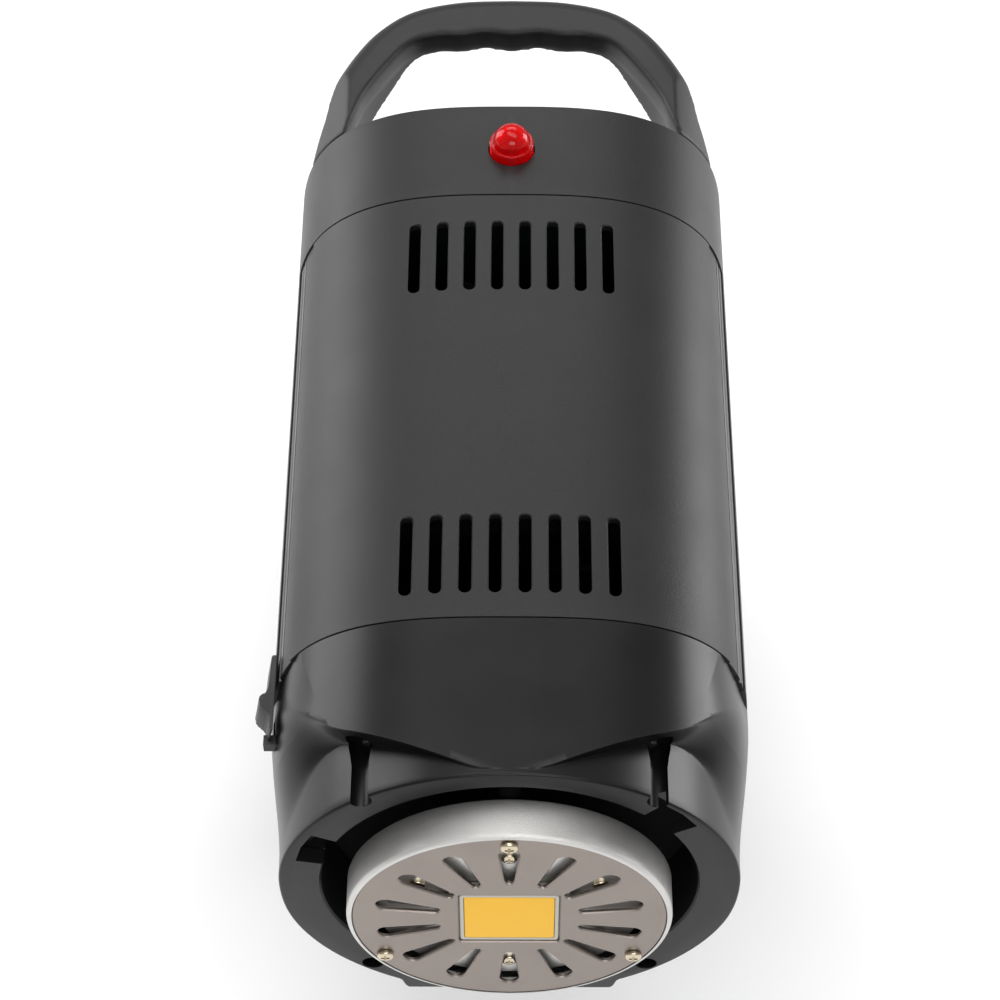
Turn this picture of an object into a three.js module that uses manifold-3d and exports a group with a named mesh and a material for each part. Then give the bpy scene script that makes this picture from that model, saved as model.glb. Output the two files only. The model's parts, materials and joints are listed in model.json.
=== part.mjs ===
// Monolight strobe: a studio light head on a tilting stand bracket.
// Millimetres, +Z up. The light shines along -Y. The origin is the centre of
// the stand socket's mouth. The head's own frame starts at the middle of the
// front ring's face, on the optical axis.
import * as THREE from 'three';
import { mergeVertices } from 'three/addons/utils/BufferGeometryUtils.js';
import Module from 'manifold-3d';

const wasm = await Module();
wasm.setup();

// ---- driving dimensions ----
const GAP = 0.3;                    // clearance between touching pieces
const HEAD_Y = -150;                // front ring face from the stand axis
const HEAD_Z = 151.7;               // optical axis above the socket mouth

const BODY = { a: 77.7, top: 67.6, bottom: 70, n: 2.9 };   // casing section
const WALL = 2.6;
const SEAM_FRONT = 57.4;            // front housing meets the covers
const SEAM_REAR = 236.2;            // covers meet the rear cap
const CAP_END = 279.4;
const RAIL = { low: 26, high: 34.3, recess: 0.8 };

const BORE_R = 60;                  // accessory bayonet bore
const LUG_R = 69;                   // channel the accessory lugs turn in
const LIP = 4.2;                    // ring lip in front of the channel
const CHANNEL_END = 11.5;
const FLOOR_Y = 26;                 // front wall behind the bore
const FLOOR_T = 2.5;
const PEDESTAL = { x: 22, z: 21 };  // heat sink block that passes through the floor
const RING = { a: 73.5, top: 67.6, lower: 74 };
const RING_WALL = 2.2;              // least wall outside the lug channel
const FOOT = { x: 36, z: -70 };
const NOTCH_ANGLES = [40, 160, 280];
const NOTCH_HALF = 7;
const LUG_TURN = 20;
const TROUGH_ANGLES = [49, 131, 229, 311];
const TROUGH = { r: 68.6, radius: 3.6, length: 23.3 };

const CUP = { r: 51.6, wall: 1.4, front: -12.2, back: 1.2, lip: 44 };
const PLATE = { r: 49.9, front: -12, back: -10.8, slots: 14, inner: 22.5, outer: 43 };
const WINDOW = { x: 16, z: 15 };
const PLATE_SCREW_R = 46.1;
const PLATE_SCREW_ANGLES = [90, 210, 330];

const VENT = { count: 8, pitch: 9.5, width: 4, rows: [[67, 97.4], [192.5, 223.5]] };
const DOME = { y: 257.8, rim: 7.8, clear: 6.6, rimTop: 71.1 };

const PIVOT_Z = 48;                 // tilt axis above the socket mouth
const TONGUE_R = 15;
const SOCKET_R = 8.2;               // for a 16 mm stand spigot
const UMBRELLA_Z = 71;

// ---- colours and finishes ----
const LOOKS = {
  satin: [0x3a3b3d, 0.5, 0],
  grain: [0x3e3f41, 0.62, 0],
  dark: [0x1c1c1e, 0.6, 0],
  silver: [0xb9b7b4, 0.32, 0.9],
  warm: [0xa49c96, 0.4, 0.85],
  steel: [0xb4b6ba, 0.3, 1],
  alloy: [0xa9abad, 0.45, 0.9],
  anodised: [0x202124, 0.5, 0.6],
  yellow: [0xf0c04a, 0.5, 0],
  white: [0xe9e7e0, 0.5, 0],
  red: [0xd01018, 0.08, 0],
  green: [0x1f5a36, 0.5, 0],
  copper: [0xb0763a, 0.4, 0.6],
  blue: [0x26407a, 0.4, 0],
  glass: [0x10161c, 0.1, 0],
};
const material = (name) => {
  const [color, roughness, metalness] = LOOKS[name];
  return new THREE.MeshStandardMaterial({ color, roughness, metalness });
};

// ---- solids ----
const radians = THREE.MathUtils.degToRad;

function solid(geometry) {
  const plain = geometry.index ? geometry.toNonIndexed() : geometry.clone();
  for (const name of Object.keys(plain.attributes)) {
    if (name !== 'position') plain.deleteAttribute(name);
  }
  const merged = mergeVertices(plain, 1e-4);
  const mesh = new wasm.Mesh({
    numProp: 3,
    vertProperties: new Float32Array(merged.attributes.position.array),
    triVerts: new Uint32Array(merged.index.array),
  });
  return new wasm.Manifold(mesh);
}

function toGeometry(body) {
  const mesh = body.getMesh();
  const geometry = new THREE.BufferGeometry();
  geometry.setAttribute('position', new THREE.BufferAttribute(mesh.vertProperties, 3));
  geometry.setIndex(new THREE.BufferAttribute(mesh.triVerts, 1));
  geometry.computeVertexNormals();
  return geometry;
}

const join = (...bodies) => bodies.reduce((sum, body) => sum.add(body));
const cut = (body, ...tools) => tools.reduce((rest, tool) => rest.subtract(tool), body);

function shapeOf(points) {
  return new THREE.Shape(points.map(([u, v]) => new THREE.Vector2(u, v)));
}

// A flat outline drawn in two axes and pulled along the third.
const AXES = {
  x: new THREE.Matrix4().set(0, 0, 1, 0, 1, 0, 0, 0, 0, 1, 0, 0, 0, 0, 0, 1),
  y: new THREE.Matrix4().set(1, 0, 0, 0, 0, 0, -1, 0, 0, 1, 0, 0, 0, 0, 0, 1),
  z: new THREE.Matrix4(),
};

function prism(axis, shape, from, to, curveSegments = 8) {
  const options = { depth: to - from, bevelEnabled: false, curveSegments };
  const geometry = new THREE.ExtrudeGeometry(shape, options);
  geometry.applyMatrix4(AXES[axis]);
  if (axis === 'x') geometry.translate(from, 0, 0);
  if (axis === 'y') geometry.translate(0, to, 0);
  if (axis === 'z') geometry.translate(0, 0, from);
  return solid(geometry);
}

function box(x0, x1, y0, y1, z0, z1) {
  const geometry = new THREE.BoxGeometry(x1 - x0, y1 - y0, z1 - z0);
  geometry.translate((x0 + x1) / 2, (y0 + y1) / 2, (z0 + z1) / 2);
  return solid(geometry);
}

// A round bar along an axis. The two centre values are the other two axes in order.
function rod(axis, radius, from, to, c1 = 0, c2 = 0, sides = 16) {
  const geometry = new THREE.CylinderGeometry(radius, radius, to - from, sides);
  const middle = (from + to) / 2;
  if (axis === 'x') geometry.rotateZ(Math.PI / 2).translate(middle, c1, c2);
  if (axis === 'y') geometry.translate(c1, middle, c2);
  if (axis === 'z') geometry.rotateX(Math.PI / 2).translate(c1, c2, middle);
  return solid(geometry);
}

// A turned piece about the Y axis: the profile is [radius, y] pairs.
function turned(profile, sides = 32) {
  const points = profile.map(([r, y]) => new THREE.Vector2(r, y));
  return solid(new THREE.LatheGeometry(points, sides));
}

function polar(r, degrees) {
  return [r * Math.cos(radians(degrees)), r * Math.sin(radians(degrees))];
}

// ---- outlines ----
function casingOutline(grow = 0, count = 40) {
  const points = [];
  for (let i = 0; i < count; i += 1) {
    const t = (i / count) * Math.PI * 2;
    const b = (Math.sin(t) >= 0 ? BODY.top : BODY.bottom) + grow;
    const u = Math.abs(Math.cos(t)) / (BODY.a + grow);
    const v = Math.abs(Math.sin(t)) / b;
    const r = (u ** BODY.n + v ** BODY.n) ** (-1 / BODY.n);
    points.push([r * Math.cos(t), r * Math.sin(t)]);
  }
  return shapeOf(points);
}

function ringOutline(grow = 0, count = 40) {
  const points = [];
  for (let i = 0; i < count; i += 1) {
    const t = (i / count) * Math.PI * 2;
    const u = Math.cos(t) / RING.a;
    const v = Math.sin(t) / RING.top;
    const r = (Math.sin(t) >= 0 ? 1 / Math.hypot(u, v) : RING.lower) + grow;
    points.push([r * Math.cos(t), r * Math.sin(t)]);
  }
  return shapeOf(points);
}

function roundedRectangle(x0, x1, z0, z1, r) {
  const shape = new THREE.Shape();
  shape.moveTo(x0 + r, z0);
  shape.absarc(x1 - r, z0 + r, r, -Math.PI / 2, 0, false);
  shape.absarc(x1 - r, z1 - r, r, 0, Math.PI / 2, false);
  shape.absarc(x0 + r, z1 - r, r, Math.PI / 2, Math.PI, false);
  shape.absarc(x0 + r, z0 + r, r, Math.PI, Math.PI * 1.5, false);
  return shape;
}

const casing = (y0, y1, grow = 0) => prism('y', casingOutline(grow), y0, y1);
const tubeOfCasing = (y0, y1) => cut(casing(y0, y1), casing(y0 - 1, y1 + 1, -WALL));

// ---- the parts list ----
const object = new THREE.Group();
const head = new THREE.Group();
head.position.set(0, HEAD_Y, HEAD_Z);
object.add(head);

function add(parent, name, body, look) {
  const mesh = new THREE.Mesh(toGeometry(body), material(look));
  mesh.name = name;
  parent.add(mesh);
}

// ---- front housing ----
function mirroredPlan(half) {
  return shapeOf([...half, ...half.map(([x, y]) => [-x, y]).reverse()]);
}

// The casing steps down to the round ring along a brow line seen from above.
function housingOutside() {
  const end = SEAM_FRONT - GAP;
  const brow = [[0.1, 2], [10, 2], [55, 21.8], [70.5, 31], [76, 38], [77.9, 52], [77.9, end]];
  const cheek = [[0.1, 6], [73.6, 6], [75.8, 27.5], [77.9, 48], [77.9, end]];
  const full = casing(0, end);
  const upper = prism('z', mirroredPlan(brow), 20, 80).intersect(full);
  const lower = prism('z', mirroredPlan(cheek), -80, 20).intersect(full);
  const ring = prism('y', ringOutline(), 0, 40);
  const foot = box(-FOOT.x, FOOT.x, 0, 40, FOOT.z, -50);
  return join(ring, upper, lower, foot);
}

function notch(angle) {
  const [x1, z1] = polar(BORE_R - 3, angle - NOTCH_HALF);
  const [x2, z2] = polar(LUG_R, angle - NOTCH_HALF);
  const [x3, z3] = polar(LUG_R + 0.4, angle);
  const [x4, z4] = polar(LUG_R, angle + NOTCH_HALF);
  const [x5, z5] = polar(BORE_R - 3, angle + NOTCH_HALF);
  return prism('y', shapeOf([[x1, z1], [x2, z2], [x3, z3], [x4, z4], [x5, z5]]), -1, LIP + 1);
}

// Behind the lip each lug turns back from its notch by LUG_TURN degrees.
function lugChannel(angle) {
  const from = angle - NOTCH_HALF - LUG_TURN;
  const to = angle + NOTCH_HALF - 1;
  const points = [];
  for (let i = 0; i <= 6; i += 1) points.push(polar(LUG_R, from + ((to - from) * i) / 6));
  for (let i = 6; i >= 0; i -= 1) points.push(polar(BORE_R - 3, from + ((to - from) * i) / 6));
  return prism('y', shapeOf(points), LIP, CHANNEL_END);
}

function screwTrough(angle) {
  const [x, z] = polar(TROUGH.r, angle);
  return rod('y', TROUGH.radius, -1, TROUGH.length, x, z, 16);
}

const LATCH = { x: -63.8, z: 21.2, tip: 6, barEnd: 42, springEnd: 55, webStart: 38, travel: 6 };

function frontHousing() {
  const screwHoles = TROUGH_ANGLES.map((angle) => {
    const [x, z] = polar(TROUGH.r - 1.8, angle);
    return rod('y', 2.2, 20, SEAM_FRONT + 1, x, z, 8);
  });
  const posts = PLATE_SCREW_ANGLES.map((angle) => {
    const [x, z] = polar(PLATE_SCREW_R, angle);
    const post = rod('y', 3.5, CUP.front + 3.1, FLOOR_Y + 1, x, z, 16);
    return post.subtract(rod('y', 1.7, CUP.front, 5, x, z, 8));
  });
  const ringInside = prism('y', ringOutline(-RING_WALL), 0, CHANNEL_END);
  const channels = NOTCH_ANGLES.map((angle) => lugChannel(angle).intersect(ringInside));
  const [doorX, doorZ] = [PEDESTAL.x + 2 * GAP, PEDESTAL.z + 2 * GAP];
  const springStop = box(-74, -59.5, LATCH.springEnd + GAP, SEAM_FRONT - GAP, 16, 26);
  const shell = cut(
    housingOutside(),
    rod('y', BORE_R, -1, FLOOR_Y, 0, 0, 36),
    ...channels,
    box(-doorX, doorX, FLOOR_Y - 1, FLOOR_Y + FLOOR_T + 1, -doorZ, doorZ),
    prism('y', ringOutline(-5), FLOOR_Y + FLOOR_T, 41),
    casing(40, SEAM_FRONT + 1, -WALL),
    ...NOTCH_ANGLES.map(notch),
    ...TROUGH_ANGLES.map(screwTrough),
    ...screwHoles,
    box(-67.2, -59.7, CHANNEL_END - 1, 41, 17.9, 24.5),
    box(-90, -60, LATCH.webStart - 0.6, LATCH.barEnd + LATCH.travel + 0.4, 18.9, 23.7),
  );
  return join(shell, springStop, ...posts);
}
add(head, 'front_housing', frontHousing(), 'satin');

// ---- covers, rails and rear cap ----
function ventSlot(x, y0, y1) {
  const r = VENT.width / 2;
  const shape = new THREE.Shape();
  shape.absarc(x, y1 - r, r, 0, Math.PI, false);
  shape.absarc(x, y0 + r, r, Math.PI, Math.PI * 2, false);
  return prism('z', shape, 40, 80, 2);
}

function coverBoss(side, up) {
  const [x, z] = polar(TROUGH.r - 1.8, 49);
  const reach = up > 0 ? BODY.top - WALL : BODY.bottom - WALL;
  const web = box(side * x - 2, side * x + 2, SEAM_FRONT + GAP, 70, z + 2, reach - 3);
  const tall = up > 0 ? web : web.rotate([0, 180, 0]).translate([2 * side * x, 0, 0]);
  const boss = rod('y', 4, SEAM_FRONT + GAP, 70, side * x, up * z, 16);
  return cut(join(boss, tall), rod('y', 1.8, SEAM_FRONT - 1, 68, side * x, up * z, 8));
}

function topCover() {
  const half = box(-80, 80, 0, 400, RAIL.high + GAP, 90);
  const slots = [];
  for (const [y0, y1] of VENT.rows) {
    for (let i = 0; i < VENT.count; i += 1) {
      slots.push(ventSlot((i - (VENT.count - 1) / 2) * VENT.pitch, y0, y1));
    }
  }
  const shell = tubeOfCasing(SEAM_FRONT + GAP, SEAM_REAR - GAP).intersect(half);
  return join(cut(shell, ...slots), coverBoss(1, 1), coverBoss(-1, 1));
}
add(head, 'body_top_cover', topCover(), 'grain');

const BOARD = { x: 52, y0: 145, y1: 228, z: -52 };
const PAD = { x: 20, y0: 114, y1: 186, z: -70.4 };
const BRACKET_SCREWS = [[-12, -27], [12, -27], [-12, 27], [12, 27]];

function bottomCover() {
  const half = box(-80, 80, 0, 400, -90, RAIL.low - GAP);
  const shell = tubeOfCasing(SEAM_FRONT + GAP, SEAM_REAR - GAP).intersect(half);
  const bosses = [];
  for (const x of [-BOARD.x + 6, BOARD.x - 6]) {
    for (const y of [BOARD.y0 + 6, BOARD.y1 - 6]) {
      bosses.push(rod('z', 3.5, -67, BOARD.z - GAP, x, y, 8));
    }
  }
  const pad = box(-PAD.x, PAD.x, PAD.y0, PAD.y1, PAD.z, -62);
  const holes = BRACKET_SCREWS.map(([x, y]) => rod('z', 2.3, -75, -60, x, y - HEAD_Y, 8));
  return cut(join(shell, pad, coverBoss(1, -1), coverBoss(-1, -1), ...bosses), ...holes);
}
add(head, 'body_bottom_cover', bottomCover(), 'grain');

function sideRail(side) {
  const strip = cut(
    casing(SEAM_FRONT + GAP, SEAM_REAR - GAP, -RAIL.recess),
    casing(SEAM_FRONT - 1, SEAM_REAR + 1, -WALL),
  );
  const reach = side > 0 ? [0, 90] : [-90, 0];
  return strip.intersect(box(reach[0], reach[1], 0, 400, RAIL.low, RAIL.high));
}
add(head, 'side_rail_left', sideRail(-1), 'satin');
add(head, 'side_rail_right', sideRail(1), 'satin');

const PANEL = { x: 57, z0: -57, z1: 37, y0: 273.9, y1: 276.6 };

function rearCap() {
  const outside = casing(SEAM_REAR, CAP_END);
  return cut(
    outside,
    casing(SEAM_REAR - 1, PANEL.y1 + GAP, -WALL),
    prism('y', roundedRectangle(-53, 53, -53, 33, 9), 270, CAP_END + 1),
    rod('z', DOME.rim + GAP, 60, 80, 0, DOME.y, 28),
  );
}
add(head, 'rear_cap', rearCap(), 'grain');

// ---- carrying handle: a bow seen from above, with deeper roots at the cap ----
function handle() {
  const start = CAP_END + GAP;
  const outer = [[74.3, start], [66.5, 303.5], [48.5, 336], [24, 349], [0, 351]];
  const inner = [[61, start], [51.5, 303.5], [38.5, 323.5], [20, 329.2], [0, 330.3]];
  const mirror = (half) => half.slice(0, -1).map(([x, y]) => [-x, y]).reverse();
  const curve = (points) => points.map(([x, y]) => new THREE.Vector2(x, y));
  const back = [...mirror(inner).reverse().slice(1), inner.at(-1), ...inner.slice(0, -1).reverse()];
  const shape = new THREE.Shape();
  shape.moveTo(...outer[0]);
  shape.splineThru(curve([...outer.slice(1), ...mirror(outer)]));
  shape.lineTo(-inner[0][0], inner[0][1]);
  shape.splineThru(curve(back));
  const side = [[279, 14], [292, 26], [303, 33], [318, 37], [330, 43.5], [352, 45], [352, 51], [349, 53.6],
    [340, 54.4], [279, 54.4]];
  const bow = prism('z', shape, 10, 60, 3);
  const profile = prism('x', shapeOf(side), -90, 90);
  return bow.intersect(profile).intersect(casing(279, 357));
}
add(head, 'handle', handle(), 'satin');

// ---- fasteners ----
function crossScrew(axis, headRadius, headHeight, shaftRadius, length) {
  const slot = headRadius * 0.55;
  const slotWidth = headRadius * 0.14;
  const body = cut(
    turned([[0, 0], [headRadius, 0], [headRadius, headHeight * 0.5], [headRadius * 0.7, headHeight],
      [0, headHeight]], 12),
    box(-slot, slot, headHeight * 0.4, headHeight + 1, -slotWidth, slotWidth),
    box(-slotWidth, slotWidth, headHeight * 0.4, headHeight + 1, -slot, slot),
  );
  const whole = join(body, rod('y', shaftRadius, -length, 0.2, 0, 0, 8));
  if (axis === '-y') return whole.rotate([180, 0, 0]);
  if (axis === '+y') return whole;
  return whole.rotate([-90, 0, 0]);
}

PLATE_SCREW_ANGLES.forEach((angle, i) => {
  const [x, z] = polar(PLATE_SCREW_R, angle);
  const screw = crossScrew('-y', 2.7, 1.6, 1.3, 10).translate([x, CUP.front - 0.1, z]);
  add(head, `plate_screw_${i + 1}`, screw, 'steel');
});

TROUGH_ANGLES.forEach((angle, i) => {
  const [x, z] = polar(TROUGH.r - 1.8, angle);
  const screw = crossScrew('-y', 1.8, 2, 1.4, 43).translate([x, TROUGH.length - GAP, z]);
  add(head, `front_screw_${i + 1}`, screw, 'dark');
});

// ---- reflector cup and emitter plate ----
function reflectorCup() {
  const { r, wall, front, back, lip } = CUP;
  const seat = PLATE.back + GAP;
  const ring = turned([[r - 1.5, front], [r - 0.4, front + 0.4], [r, front + 1.5], [r, back],
    [r - wall, back], [r - wall, seat + 1], [lip, seat + 1], [lip, seat], [r - wall, seat],
    [r - wall, front], [r - 1.5, front]], 36);
  const holes = PLATE_SCREW_ANGLES.map((angle) => {
    const [x, z] = polar(PLATE_SCREW_R, angle);
    return rod('y', 1.7, front, back, x, z, 8);
  });
  return cut(ring, ...holes);
}
add(head, 'reflector_cup', reflectorCup(), 'silver');

function teardropSlot(index) {
  const shape = new THREE.Shape();
  const tip = 1.5;
  const wide = 3.15;
  shape.absarc(0, PLATE.inner + tip, tip, Math.PI, Math.PI * 2, false);
  shape.absarc(0, PLATE.outer - wide, wide, 0, Math.PI, false);
  const slot = prism('y', shape, PLATE.front - 1, PLATE.back + 1, 2);
  return slot.rotate([0, (index * 360) / PLATE.slots, 0]);
}

function emitterPlate() {
  const tools = [];
  for (let i = 0; i < PLATE.slots; i += 1) tools.push(teardropSlot(i));
  for (const angle of PLATE_SCREW_ANGLES) {
    const [x, z] = polar(PLATE_SCREW_R, angle);
    tools.push(rod('y', 1.7, PLATE.front - 1, PLATE.back + 1, x, z, 8));
  }
  tools.push(box(-WINDOW.x, WINDOW.x, PLATE.front - 1, PLATE.back + 1, -WINDOW.z, WINDOW.z));
  return cut(rod('y', PLATE.r, PLATE.front, PLATE.back, 0, 0, 36), ...tools);
}
add(head, 'emitter_plate', emitterPlate(), 'warm');

// ---- light emitter and its heat sink ----
add(head, 'cob_board', box(-19, 19, -9.9, -8.7, -18, 18), 'white');
add(head, 'cob_phosphor', box(-14.25, 14.25, -11.6, -10.2, -13, 13), 'yellow');

const SPREADER = { r: 42, front: -8.4, back: -6.9 };
add(head, 'heat_spreader', rod('y', SPREADER.r, SPREADER.front, SPREADER.back, 0, 0, 36), 'alloy');

function heatSink() {
  const { x, z } = PEDESTAL;
  const fins = [];
  for (let i = -4; i <= 4; i += 1) fins.push(box(i * 9.5 - 1, i * 9.5 + 1, 38, 108, -42, 48));
  const pedestal = box(-x, x, SPREADER.back + GAP, 34, -z, z);
  return join(box(-42, 42, 31, 38.5, -42, 48), pedestal, ...fins);
}
add(head, 'heat_sink', heatSink(), 'anodised');

// ---- accessory latch ----
const THUMB = { z0: 18, z1: 30, lean: 0.17 };

// The thumb pad rises to a hump. Its outer face leans in towards the top, as the casing's side does.
function latchThumb() {
  const pad = [[-70, 39.4], [-78.6, 39.4], [-78.9, 43.5], [-79.6, 46.4], [-81.6, 48.6], [-82.6, 51],
    [-82.2, 53.4], [-80.4, 56.6], [-79.7, 68], [-70, 68]];
  const { z0, z1, lean } = THUMB;
  const options = { depth: z1 - z0, bevelEnabled: false };
  const geometry = new THREE.ExtrudeGeometry(shapeOf(pad), options);
  geometry.applyMatrix4(new THREE.Matrix4().set(1, 0, lean, 0, 0, 1, 0, 0, 0, 0, 1, z0, 0, 0, 0, 1));
  return solid(geometry).subtract(casing(20, 80, 0.4));
}

function latchSlider() {
  const { x, z, tip, barEnd, webStart } = LATCH;
  const web = box(-79, x, webStart, barEnd, 19.3, 23.3);
  const bar = box(x - 2.7, x + 2.7, 17, barEnd, z - 2.6, z + 2.6);
  const pin = rod('y', 2, tip, 18, x + 0.6, z, 16);
  return join(latchThumb(), web, bar, pin);
}
add(head, 'latch_slider', latchSlider(), 'dark');

class Coil extends THREE.Curve {
  constructor(radius, length, turns) {
    super();
    Object.assign(this, { radius, length, turns });
  }

  getPoint(t, target = new THREE.Vector3()) {
    const angle = t * this.turns * Math.PI * 2;
    return target.set(this.radius * Math.cos(angle), t * this.length, this.radius * Math.sin(angle));
  }
}

function disc(radius, sides) {
  const points = [];
  for (let i = 0; i < sides; i += 1) points.push(polar(radius, (i * 360) / sides));
  return shapeOf(points);
}

function latchSpring() {
  const wire = 0.35;
  const length = LATCH.springEnd - LATCH.barEnd - 2 * GAP - 2 * wire;
  const path = new Coil(2.1, length, 5);
  const geometry = new THREE.ExtrudeGeometry(disc(wire, 5), { steps: 45, extrudePath: path });
  geometry.translate(LATCH.x, LATCH.barEnd + GAP + wire, LATCH.z);
  return solid(geometry);
}
add(head, 'latch_spring', latchSpring(), 'steel');

// ---- fan ----
const FAN = { y0: 112, y1: 137, half: 40, bore: 37.8, hub: 17 };

function fanFrame() {
  const { y0, y1, half, bore, hub } = FAN;
  const duct = cut(
    prism('y', roundedRectangle(-half, half, -half, half, 4), y0, y1),
    rod('y', bore, y0 - 1, y1 + 1, 0, 0, 40),
  );
  const struts = [join(box(-39, 39, 134.5, y1, -1.5, 1.5), box(-1.5, 1.5, 134.5, y1, -39, 39))];
  const motor = rod('y', hub, 134.2, y1, 0, 0, 24);
  return cut(join(duct, motor, ...struts), rod('y', 2, 130, 140, 0, 0, 8));
}
add(head, 'fan_frame', fanFrame(), 'dark');

function fanRotor() {
  const blades = [];
  for (let i = 0; i < 7; i += 1) {
    const blade = box(10, 36, -0.8, 0.8, -12, 12).rotate([38, 0, 0]);
    blades.push(blade.rotate([0, (i * 360) / 7, 0]).translate([0, 124, 0]));
  }
  return join(rod('y', FAN.hub, 114, 133.8, 0, 0, 24), rod('y', 1.6, 133, 136.5, 0, 0, 8), ...blades);
}
add(head, 'fan_rotor', fanRotor(), 'dark');

// ---- electronics ----
add(head, 'power_board', box(-BOARD.x, BOARD.x, BOARD.y0, BOARD.y1, BOARD.z, BOARD.z + 1.6), 'green');
const ON_BOARD = BOARD.z + 1.6 + GAP;

function transformer() {
  const core = box(-46, -10, 150, 184, ON_BOARD + 4, ON_BOARD + 30);
  const winding = box(-40, -16, 146, 188, ON_BOARD, ON_BOARD + 34);
  return join(core, winding);
}
add(head, 'transformer', transformer(), 'copper');
add(head, 'capacitor_1', rod('z', 11, ON_BOARD, ON_BOARD + 38, 10, 168, 24), 'blue');
add(head, 'capacitor_2', rod('z', 11, ON_BOARD, ON_BOARD + 38, 36, 168, 24), 'blue');
add(head, 'control_board', box(-48, 48, 252, 253.6, -50, 32), 'green');

function wireHarness() {
  const route = [[24, 214, ON_BOARD], [24, 214, -20], [20, 206, 20], [6, 200, 44], [-8, 206, 48],
    [-20, 222, 36], [-22, 238, 8], [-22, 246, 0], [-22, 250.8, 0]];
  const path = new THREE.CatmullRomCurve3(route.map((point) => new THREE.Vector3(...point)));
  return solid(new THREE.ExtrudeGeometry(disc(1.8, 6), { steps: 32, extrudePath: path }));
}
add(head, 'wire_harness', wireHarness(), 'dark');

// ---- slave cell under its red dome ----
function slaveDome() {
  const { rim, clear, rimTop } = DOME;
  const profile = [[4.2, 62], [rim, 62], [rim, rimTop - 0.6], [rim - 0.6, rimTop], [clear, rimTop]];
  for (let i = 1; i < 6; i += 1) {
    const [r, rise] = polar(clear, (i * 90) / 6);
    profile.push([r, rimTop + rise]);
  }
  profile.push([0, rimTop + clear], [0, rimTop + 3.4], [3, rimTop + 2], [4.2, rimTop - 1], [4.2, 62]);
  return turned(profile, 20).rotate([90, 0, 0]).translate([0, DOME.y, 0]);
}
add(head, 'slave_dome', slaveDome(), 'red');
const CELL = [rod('z', 2.5, 58, 70, 0, DOME.y, 16), rod('z', 7, 57, 58.6, 0, DOME.y, 20)];
add(head, 'slave_sensor', join(...CELL), 'dark');

// ---- rear panel and its controls ----
const DIAL = { x: -32, z: -29, r: 12 };
const SWITCH = { x: -4, z: -30 };
const INLET = { x: 29, z: -31 };
const FUSE = { x: 36, z: -4 };
const DISPLAY = { x: 24, z0: 8, z1: 28 };
const BUTTONS = [[-36, -4], [-18, -4], [0, -4]];
const PANEL_SCREWS = [[-48, -47], [48, -47], [-48, 27], [48, 27]];

function rearPanel() {
  const { x, z0, z1, y0, y1 } = PANEL;
  const sheet = prism('y', roundedRectangle(-x, x, z0, z1, 14), y0, y1);
  const tools = [
    rod('y', 3.4, 260, 290, DIAL.x, DIAL.z, 16),
    box(SWITCH.x - 6.5, SWITCH.x + 6.5, 260, 290, SWITCH.z - 11, SWITCH.z + 11),
    box(INLET.x - 13.8, INLET.x + 13.8, 260, 290, INLET.z - 10.1, INLET.z + 10.1),
    rod('y', 6.3, 260, 290, FUSE.x, FUSE.z, 20),
    box(-DISPLAY.x, DISPLAY.x, 260, 290, DISPLAY.z0, DISPLAY.z1),
    ...BUTTONS.map(([bx, bz]) => rod('y', 4.8, 260, 290, bx, bz, 20)),
    ...PANEL_SCREWS.map(([sx, sz]) => rod('y', 1.6, 260, 290, sx, sz, 8)),
  ];
  return cut(sheet, ...tools);
}
add(head, 'rear_panel', rearPanel(), 'dark');

PANEL_SCREWS.forEach(([x, z], i) => {
  const screw = crossScrew('+y', 2.4, 1.5, 1.2, 8).translate([x, PANEL.y1 + GAP, z]);
  add(head, `panel_screw_${i + 1}`, screw, 'dark');
});

const FACE = PANEL.y1 + GAP;

function powerDial() {
  const grips = [];
  for (let i = 0; i < 12; i += 1) {
    const [x, z] = polar(DIAL.r, i * 30);
    grips.push(rod('y', 1.2, FACE + 3, FACE + 15, x, z, 8));
  }
  const pointer = box(-0.7, 0.7, FACE + 10.4, FACE + 15, 3, 14);
  const knob = turned([[0, FACE + 0.2], [DIAL.r + 1, FACE + 0.2], [DIAL.r + 1, FACE + 1.6],
    [DIAL.r, FACE + 2.4], [DIAL.r - 0.6, FACE + 10.6], [DIAL.r - 1.6, FACE + 11.4], [0, FACE + 11.4]], 24);
  return cut(join(knob, rod('y', 3, 264, FACE + 1, 0, 0, 16)), pointer, ...grips)
    .translate([DIAL.x, 0, DIAL.z]);
}
add(head, 'power_dial', powerDial(), 'dark');

const { x: dx, z0: dz0, z1: dz1 } = DISPLAY;
add(head, 'display_window', box(-dx + GAP, dx - GAP, 274.4, 277.2, dz0 + GAP, dz1 - GAP), 'glass');

BUTTONS.forEach(([x, z], i) => {
  const profile = [[0, 271.6], [5.8, 271.6], [5.8, 272.8], [4.4, 272.8], [4.4, 278.4], [3.8, 279], [0, 279]];
  const cap = turned(profile, 14);
  add(head, `button_${i + 1}`, cap.translate([x, 0, z]), 'satin');
});

function rockerBezel() {
  const body = join(
    box(-6.2, 6.2, 260, FACE + 0.5, -10.7, 10.7),
    prism('y', roundedRectangle(-7.8, 7.8, -12.6, 12.6, 1.5), FACE, FACE + 1.6),
  );
  return body.subtract(box(-5, 5, 262, 290, -9.9, 9.9)).translate([SWITCH.x, 0, SWITCH.z]);
}
add(head, 'rocker_bezel', rockerBezel(), 'dark');

const ROCKER_Y = 273.6;

function rockerSwitch() {
  const profile = [[-6, -2], [-2.5, -7.2], [3.6, -8.9], [5, -8.8], [4.7, -0.6], [8, 7.4], [7, 8.6],
    [-1.5, 8.4], [-5, 5.5]];
  return prism('x', shapeOf(profile), -4.6, 4.6).translate([SWITCH.x, ROCKER_Y, SWITCH.z]);
}
add(head, 'rocker_switch', rockerSwitch(), 'dark');

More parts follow.
